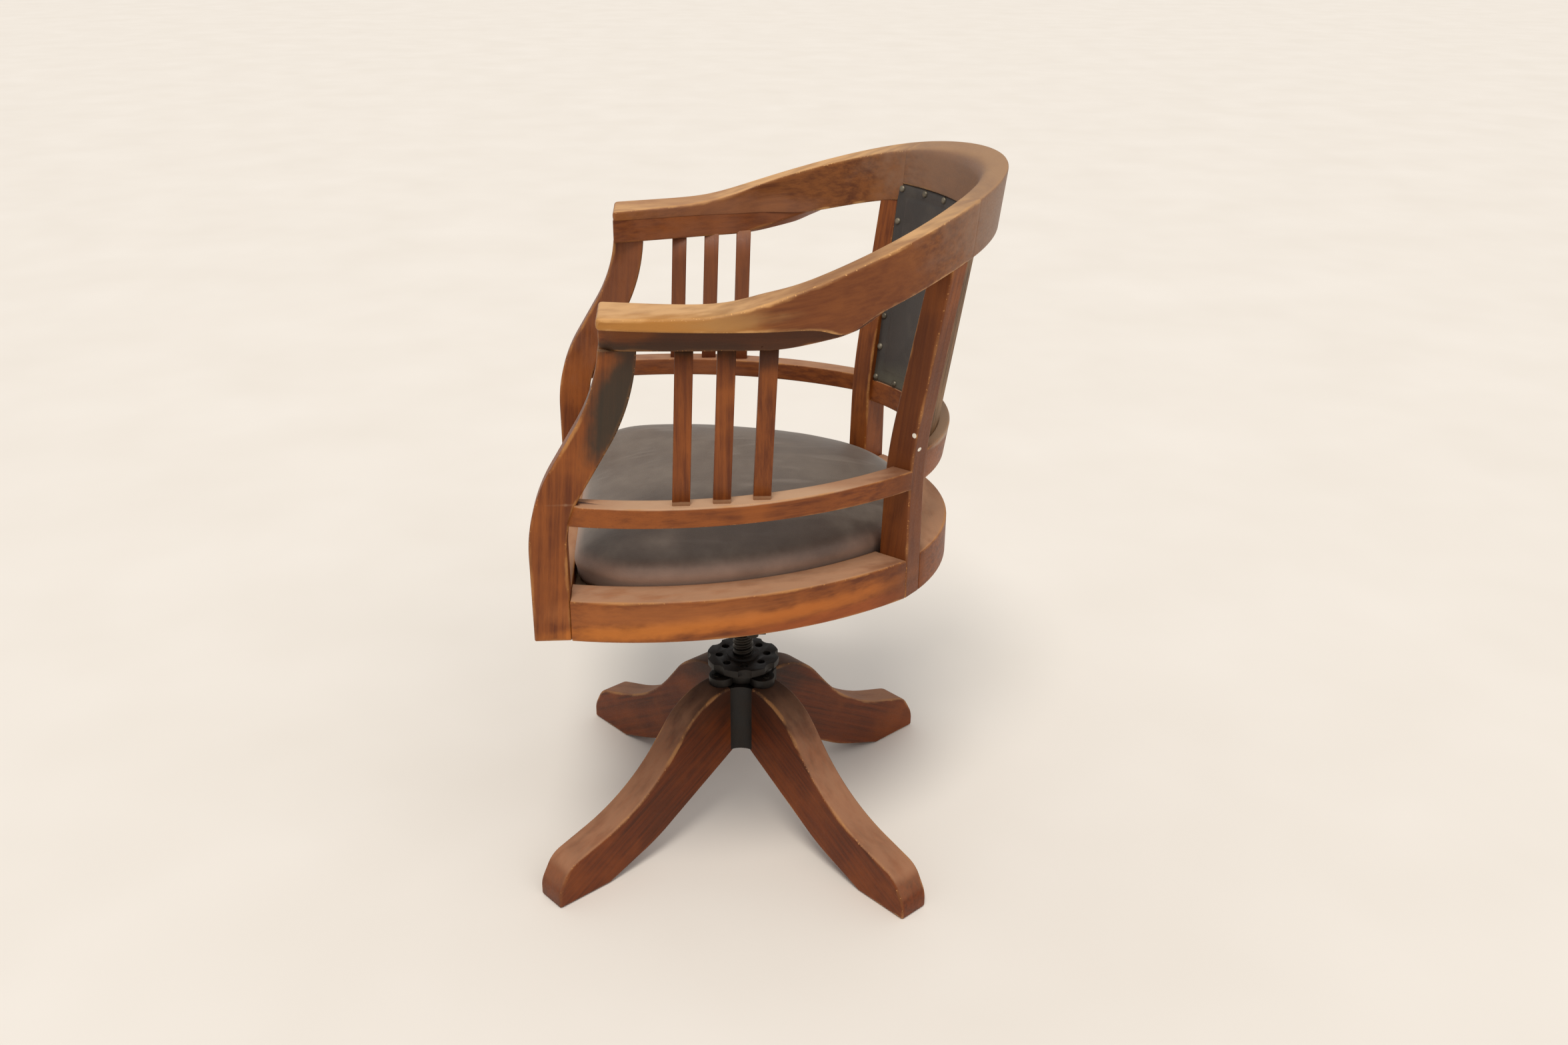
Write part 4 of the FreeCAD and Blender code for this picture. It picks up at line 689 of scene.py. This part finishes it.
def turnedStations(degrees):
    # sections at angles from +X: the height follows each corner's own y, and the section leans back with the angle
    turn = np.radians(degrees)
    aim = aimed(turn)
    corners = []
    inner, outer = bow["inner"] - (bow["inner"] - bow["waist"]) * waistShare(degrees), bow["outer"] + 0 * turn
    for radius, low in ((inner, bowUnder), (outer, bowUnderOuter), (outer, None), (inner, None)):
        y = radius * np.sin(turn)
        reach = radius - (bow["lean"] * np.sin(turn) * (bowTop(y) - bowUnder(y)) if low else 0)
        corners.append(aim * reach[:, None] + zAxis * (low or bowTop)(y)[:, None])
    return np.stack(corners, 1)


def innerTopEdge(degrees):
    # the inner top edge is rounded far more on the crest than on the arms
    low, high = bow["crestEdgeTurns"]
    share = ease((np.minimum(degrees, 180 - degrees) - low) / (high - low))
    return bow["edge"] + (bow["crestEdge"] - bow["edge"]) * share


flatY = np.linspace(bow["front"], 0, 24)[:-1]
armTurns = np.linspace(0, bow["joint"], 40)
armSections = np.concatenate([flatStations(flatY), turnedStations(armTurns)])
armEdge = innerTopEdge(np.concatenate([0 * flatY, armTurns]))
# the arm's inner face runs on into the under-arm rail's, so that corner stays sharp until near the rail's end
armY = np.concatenate([flatY, bow["outer"] * np.sin(np.radians(armTurns))])
innerLow = bow["seamEdge"] + bow["seamGain"] * ease((armY - bow["seamFrom"]) / bow["seamOver"])
armRounding = np.stack([innerLow, 0 * armEdge + bow["lowEdge"], 0 * armEdge + bow["edge"], armEdge], 1)
for side, sign in sides.items():
    arm = member(armSections * [sign, 1, 1], armRounding, (bow["endRounding"], bow["jointGroove"]))
    woodPiece("arm_" + side, arm, (-0.12 * sign, 1, 0.12), "bow_wood")

crestTurns = np.linspace(bow["joint"], 180 - bow["joint"], 72)
# inner low, outer low, outer top and inner top corners, before the panel's rebate
plain = turnedStations(crestTurns)
aim = unit(plain[:, 1] * [1, 1, 0])
share = ((panel["high"] - plain[:, 0, 2]) / (plain[:, 3, 2] - plain[:, 0, 2]))[:, None]
lipEdge = plain[:, 0] + (plain[:, 3] - plain[:, 0]) * share
backing = panel["thick"] + panel["board"] + panel["gap"]
rebateTop = aim * (panelAt(panel["high"]) + backing) + zAxis * panel["high"]
rebateLow = aim * (panelAt(plain[:, 1, 2:]) + backing) + zAxis * plain[:, 1, 2:]
crestSections = np.stack([lipEdge, rebateTop, rebateLow, plain[:, 1], plain[:, 2], plain[:, 3]], 1)
crestEdge = innerTopEdge(crestTurns)
crestEdges = (*panel["rebateEdges"], bow["lowEdge"], bow["edge"])
crestRounding = np.stack([0 * crestEdge + rounding for rounding in crestEdges] + [crestEdge], 1)
woodPiece("crest_rail", member(crestSections, crestRounding, (bow["jointGroove"],) * 2), xAxis, "bow_wood")

underRail = {"low": 767.5, "outer": 282, "splay": 0.06, "bendRadius": 312, "behind": 3, "least": 6.5, "proud": 0.5,
             "end": 140, "climb": (0.42, 25, 30), "twist": (-0.14, 0, 20), "tuckedTop": 800.5, "leastHeight": 3,
             "tuckFrom": 90, "tuckSlope": 0.36, "tuckCurve": 0.003, "edges": (2.4, 2.4, 0.5, 0.5), "ends": (2.0, 0.0)}


def underOuter(y):
    # nearly straight, then in behind the bow's outer face
    return np.minimum(underRail["outer"] + underRail["splay"] * y,
                      np.sqrt(underRail["bendRadius"] ** 2 - y ** 2) - underRail["behind"])


def underInner(y):
    # flush with the arm's inner face, which starts to turn at y 0, and never thinner than the least
    turn = np.degrees(np.arcsin(np.maximum(y, 0) / bow["inner"]))
    turned = (bow["inner"] - (bow["inner"] - bow["waist"]) * waistShare(turn)) * np.cos(np.radians(turn))
    face = np.where(y < 0, armInner(np.minimum(y, 0)), turned) + underRail["proud"]
    return np.minimum(face, underOuter(y) - underRail["least"])


def underLow(y):
    return underRail["low"] + climb(y, *underRail["climb"])


railY = np.linspace(bow["front"], underRail["end"], 70)
inner, outer, low = underInner(railY), underOuter(railY), underLow(railY)
lowOuter = low + climb(railY, *underRail["twist"])
beyond = np.maximum(railY - underRail["tuckFrom"], 0)
lowAtTuck = np.interp(underRail["tuckFrom"], railY, lowOuter)
tucked = lowAtTuck + underRail["tuckSlope"] * beyond + underRail["tuckCurve"] * beyond ** 2
lowOuter = np.where(beyond > 0, tucked, lowOuter)
top = np.maximum(underRail["tuckedTop"] + 0 * railY, low + underRail["leastHeight"])
underSections = np.stack([np.stack([x, railY, z], -1)
                          for x, z in ((inner, low), (outer, lowOuter), (outer, top), (inner, top))], 1)
for side, sign in sides.items():
    woodPiece("under_arm_rail_" + side, member(underSections * [sign, 1, 1], underRail["edges"], underRail["ends"]),
              (0.02 * sign, 1, 0.02))

slat = {"width": 20, "thick": 12, "first": -81, "pitch": 45.4, "rake": 7, "rounding": 1.3, "tenon": 2.5, "cover": 6.6}
for number, place in enumerate(("front", "middle", "rear")):
    lowY = slat["first"] + number * slat["pitch"]
    highY = lowY + slat["rake"]
    # the upper rail's middle line, on its own arc
    ends = np.array([(upper["outer"], seat["front"]), onPost(post["out"] + upper["proud"], -postHalf)])
    way = ends[1] - ends[0]
    chord = np.linalg.norm(way)
    centre = ends.mean(0) + np.array([-way[1], way[0]]) / chord * np.sqrt(upper["round"] ** 2 - chord ** 2 / 4)
    lowX = centre[0] + np.sqrt((upper["round"] - upper["width"] / 2) ** 2 - (lowY - centre[1]) ** 2)
    # the rail's middle, or as far out as its outer face still covers the slat
    highX = min(float(underInner(highY) + underOuter(highY)) / 2, float(underOuter(highY)) - slat["cover"])
    foot, head = np.array([lowX, lowY, upper["top"]]), np.array([highX, highY, underLow(highY)])
    step = unit(head - foot) * slat["tenon"]
    across, through = yAxis * slat["width"] / 2, xAxis * slat["thick"] / 2
    line = np.linspace(foot - step, head + step, 6)[:, None]
    section = np.stack([-across - through, -across + through, across + through, across - through])
    for side, sign in sides.items():
        woodPiece("slat_%s_%s" % (place, side), member((line + section) * [sign, 1, 1], slat["rounding"]), zAxis)

midRail = {"low": 562, "high": 606, "back": 14, "turns": (51.0, 129.0), "edges": (2, 2.4, 2.4, 1, 0.4, 1.4)}
turn = np.radians(np.linspace(*midRail["turns"], 60))
aim = aimed(turn)
board = panel["thick"] + panel["board"]
# levels and how far behind the panel's face, round the section: the panel stands in a rebate on the rail's top
section = [(midRail["low"], 0), (midRail["low"], board + midRail["back"]), (midRail["high"], board + midRail["back"]),
           (midRail["high"], board), (panel["low"], board), (panel["low"], 0)]
midSections = np.stack([aim * (panelAt(level) + behind) + zAxis * level for level, behind in section], 1)
woodPiece("mid_back_rail", member(midSections, midRail["edges"]), xAxis)
print("bow, slats and rails made")

# ---- upholstery ----
pad = {"low": 456.6, "centre": (0.0, -8.0), "sideCentre": (-232.7, -107.2), "sideRadius": 471, "backRadius": 223.04,
       "front": -210, "corner": 5.0, "around": 240, "freeOfBack": 60, "backFrom": 0.45, "backOver": 0.3,
       # how far in and at what level, from the foot up the bulged side
       "profile": [(6.5, 456.6), (2.2, 465), (1.5, 473), (0.4, 477), (-0.6, 482), (0.8, 488), (5, 495), (12, 501.5),
                   (24, 507.5)],
       "crownUp": 532, "crownIn": 196, "crownRows": 46, "crownPower": 2.6, "creaseFrom": 490, "creaseOver": 20}


def openingReach(turn, inset):
    # distance from the pad's middle to the seat opening, drawn in by an inset: the softened least of the distances
    # to the front line, the two side arcs and the back arc
    aim = np.stack([np.cos(turn), np.sin(turn)], -1)
    middle = np.array(pad["centre"])

    def toCircle(centre, radius):
        offset = middle - np.array(centre)
        along = aim @ offset
        return -along + np.sqrt(along ** 2 + radius ** 2 - offset @ offset)

    sideX, sideY = pad["sideCentre"]
    notBehind = pad["freeOfBack"] * ease((pad["backFrom"] - aim[:, 1]) / pad["backOver"])
    toFront = (pad["front"] + inset - middle[1]) / np.minimum(aim[:, 1], -1e-3)
    reach = [toCircle((sideX, sideY), pad["sideRadius"] - inset),
             toCircle((-sideX, sideY), pad["sideRadius"] - inset),
             toCircle((0, 0), pad["backRadius"] - inset) + notBehind,
             np.where(aim[:, 1] < -1e-3, toFront, unlimited)]
    sharp = np.min(reach, 0)
    return sharp - pad["corner"] * np.log(np.sum(np.exp(-(np.array(reach) - sharp) / pad["corner"]), 0))


def padWrinkles(x, y):
    # soft handling creases: bands of slow waves bent by slower ones, strongest towards the far front
    bend = 14 * np.sin(x / 61 + 1.3) + 11 * np.sin(y / 47 - 0.6)
    long = np.sin((0.86 * x + 0.5 * y + bend) / 21.0) * np.sin((y - 0.4 * x) / 83.0 + 0.7)
    short = np.sin((0.35 * x + y + bend * 0.7) / 12.5 + 2.0) * np.sin((x + 40) / 57.0)
    where = 0.35 + 0.65 * ease((60 - y) / 200) * ease((110 - x) / 180)
    return (0.9 * long + 0.45 * short) * where


around = np.linspace(0, 2 * np.pi, pad["around"], endpoint=False)
crown = np.linspace(0, 1, pad["crownRows"])[1:]
edge = pad["profile"][-1]
insets = np.array([p[0] for p in pad["profile"]] + list(edge[0] + (pad["crownIn"] - edge[0]) * crown))
crownRise = (pad["crownUp"] - edge[1]) * (1 - (1 - crown) ** pad["crownPower"])
levels = np.array([p[1] for p in pad["profile"]] + list(edge[1] + crownRise))
reach = np.stack([openingReach(around, inset) for inset in insets])
x = pad["centre"][0] + reach * np.cos(around)
y = pad["centre"][1] + reach * np.sin(around)
z = levels[:, None] + padWrinkles(x, y) * ease((levels[:, None] - pad["creaseFrom"]) / pad["creaseOver"])
middleZ = pad["crownUp"] + padWrinkles(*pad["centre"])
points = np.concatenate([np.stack([x, y, z], -1).reshape(-1, 3), [[*pad["centre"], middleZ]]])
rows, columns = x.shape
ring, lastRow = np.arange(columns), (rows - 1) * columns
topFan = np.stack([lastRow + ring, lastRow + (ring + 1) % columns, np.full(columns, rows * columns)], 1)
faces = gridFaces(rows, columns) + topFan.tolist() + [list(range(columns))[::-1]]
cushion = addPiece("seat_pad_upholstered", points, faces, "seat_leather", "seat", ["seat_pad"])

hide = {"border": 15, "seam": 1.3, "seamWidth": 2.2, "swell": 3.2, "swellOver": 60, "tuck": 1.2, "tuckWidth": 2.0,
        "wave": 0.5, "waveLevel": 31, "waveTurn": 3, "waveOver": 40, "gap": 0.4, "postGap": 0.3,
        "rows": 90, "columns": 150}
levels = np.linspace(panel["low"] + hide["gap"], panel["high"] - hide["gap"], hide["rows"])[:, None]
postEdge = postTurn + np.arcsin((postHalf + hide["postGap"]) / panelAt(levels))
turn = postEdge + (np.pi - 2 * postEdge) * np.linspace(0, 1, hide["columns"])[None, :]
toSide = np.minimum(turn - postEdge, np.pi - postEdge - turn) * panelAt(levels)
toEnd = np.minimum(levels - panel["low"], panel["high"] - levels)
edgeway = np.minimum(toSide, toEnd + 0 * turn)
swell = hide["swell"] * ease((edgeway - hide["border"]) / hide["swellOver"])
seam = -hide["seam"] * np.exp(-((edgeway - hide["border"]) / hide["seamWidth"]) ** 2)
tuck = -hide["tuck"] * np.exp(-(edgeway / hide["tuckWidth"]) ** 2)
waves = hide["wave"] * np.sin(levels / hide["waveLevel"] + hide["waveTurn"] * turn)
waves = waves * ease((edgeway - hide["border"]) / hide["waveOver"])
front = panelAt(levels) - (swell + seam + tuck + waves)
back = panelAt(levels) + panel["thick"] - hide["postGap"] + 0 * turn


rows, columns = turn.shape
shell = np.concatenate([placed(front, turn, levels), placed(back, turn, levels)[::-1]])
faces = gridFaces(2 * rows, columns, closed=False)
last = 2 * rows * columns
bottom = [[i, i + 1, last - columns + i + 1, last - columns + i][::-1] for i in range(columns - 1)]
sideFaces = []
for r in range(rows - 1):
    mirror = 2 * rows - 1 - r
    for c, flip in ((0, 1), (columns - 1, -1)):
        quad = [r * columns + c, (r + 1) * columns + c, (mirror - 1) * columns + c, mirror * columns + c]
        sideFaces.append(quad[::-flip] if flip > 0 else quad)
leather = addPiece("back_panel_upholstered", shell.reshape(-1, 3), faces + bottom + sideFaces, "back_leather", "seat",
                   ["back_panel"])

nail = {"radius": 4.6, "height": 3.0, "inset": 6, "pitch": 41, "rows": 7, "around": 16, "collar": 0.8, "sunk": 0.15}
edgeTurn = postTurn + np.arcsin(postHalf / panel["radius"]) + nail["inset"] / panel["radius"]
lowRow, highRow = panel["low"] + nail["inset"], panel["high"] - nail["inset"]
sideCount = round((highRow - lowRow) / nail["pitch"])
rowCount = round((np.pi - 2 * edgeTurn) * panel["radius"] / nail["pitch"])
rowTurns = np.linspace(edgeTurn, np.pi - edgeTurn, rowCount + 1)
sideLevels = np.linspace(lowRow, highRow, sideCount + 1)[1:-1]
nailTurns = np.concatenate([rowTurns, rowTurns, 0 * sideLevels + edgeTurn, 0 * sideLevels + np.pi - edgeTurn])
nailLevels = np.concatenate([0 * rowTurns + lowRow, 0 * rowTurns + highRow, sideLevels, sideLevels])
rise = np.linspace(0, np.pi / 2, nail["rows"])[:, None]
spin = np.linspace(0, 2 * np.pi, nail["around"], endpoint=False)[None, :]
dome = placed(nail["radius"] * np.cos(rise), spin, nail["height"] * np.sin(rise)).reshape(-1, 3)
dome = np.concatenate([dome[:nail["around"]] - [0, 0, nail["collar"]], dome])
count = len(dome)
aim = aimed(nailTurns)
normal = unit(-aim + zAxis * panel["lean"])
across = unit(np.cross(zAxis, normal))
upward = np.cross(normal, across)
seats = aim * (panelAt(nailLevels)[:, None] - nail["sunk"]) + zAxis * nailLevels[:, None]
points = seats[:, None] + dome[:, :1] * across[:, None] + dome[:, 1:2] * upward[:, None]
points = points + dome[:, 2:] * normal[:, None]
oneNail = np.array(gridFaces(nail["rows"] + 1, nail["around"]))
faces = (oneNail[None] + count * np.arange(len(seats))[:, None, None]).reshape(-1, 4).tolist()
faces += [(count * k + np.arange(nail["around"])[::-1]).tolist() for k in range(len(seats))]
addPiece("back_nails_domed", points.reshape(-1, 3), faces, "nail_brass", "seat", ["back_nails"])
print("upholstery made")

# ---- nodes that stay as the part gives them ----
for row in frame["record"]["subparts"]:
    kept = frame["nodes"][row["node"]]
    if not kept.hide_render:
        kept.data.materials.clear()
        kept.data.materials.append(materials[row["material_slot"]])

# ---- floor, light and camera ----
scene = bpy.context.scene
scene.view_settings.view_transform = "Standard"
ground = bpy.data.meshes.new("floor")
reach = floor["reach"]
ground.from_pydata([(-reach, -reach, floor["level"]), (reach, -reach, floor["level"]), (reach, reach, floor["level"]),
                    (-reach, reach, floor["level"])], [], [(0, 1, 2, 3)])
pale, (node, ranged, mixed, added) = newMaterial("matt pale floor")
speckle = node("TexNoise", {"Vector": node("TexCoord").outputs["Object"], "Scale": floor["speckle"]}).outputs[0]
shade = mixed(speckle, floor["colour"], floor["background"])
surface = node("BsdfPrincipled", {"Base Color": shade, "Roughness": floor["roughness"]}).outputs[0]
node("OutputMaterial", {0: surface})
ground.materials.append(pale)
ground = bpy.data.objects.new("floor", ground)
scene.collection.objects.link(ground)

world = bpy.data.worlds.new("studio")
scene.world = world
world.use_nodes = True
tree = world.node_tree
tree.nodes.clear()
sky = addNode(tree, "Background", {"Color": light["skyColour"], "Strength": light["sky"]}).outputs[0]
seen = addNode(tree, "Background", {"Color": floor["background"], "Strength": 1.0}).outputs[0]
toCamera = addNode(tree, "LightPath").outputs["Is Camera Ray"]
addNode(tree, "OutputWorld", {0: addNode(tree, "MixShader", {0: toCamera, 1: sky, 2: seen}).outputs[0]})
for name in ("key", "fill"):
    lamp = bpy.data.lights.new(name, "SUN")
    lamp.energy, lamp.angle = light[name], np.radians(light[name + "Spread"])
    lamp.color = linear(light[name + "Colour"])[:3]
    lamp = bpy.data.objects.new(name, lamp)
    lamp.rotation_euler = np.radians(light[name + "Turn"])
    scene.collection.objects.link(lamp)

(cosYaw, sinYaw), (cosPitch, sinPitch), (cosRoll, sinRoll) = (
    (np.cos(camera[turn]), np.sin(camera[turn])) for turn in ("yaw", "pitch", "roll"))
level, right = np.array([-cosYaw, -sinYaw, 0]), np.array([-sinYaw, cosYaw, 0])
ahead, upward = cosPitch * level - sinPitch * zAxis, sinPitch * level + cosPitch * zAxis
columns = np.stack([cosRoll * right + sinRoll * upward, cosRoll * upward - sinRoll * right, -ahead], 1)
eye = bpy.data.cameras.new("eye")
eye.lens, eye.sensor_width, eye.clip_end = camera["lens"], camera["sensor"], 200.0
eye.dof.use_dof = False
eye = bpy.data.objects.new("eye", eye)
eye.matrix_world = Matrix.Translation(camera["place"]) @ Matrix(columns.tolist()).to_4x4()
scene.collection.objects.link(eye)
scene.camera = eye

print("scene finished")
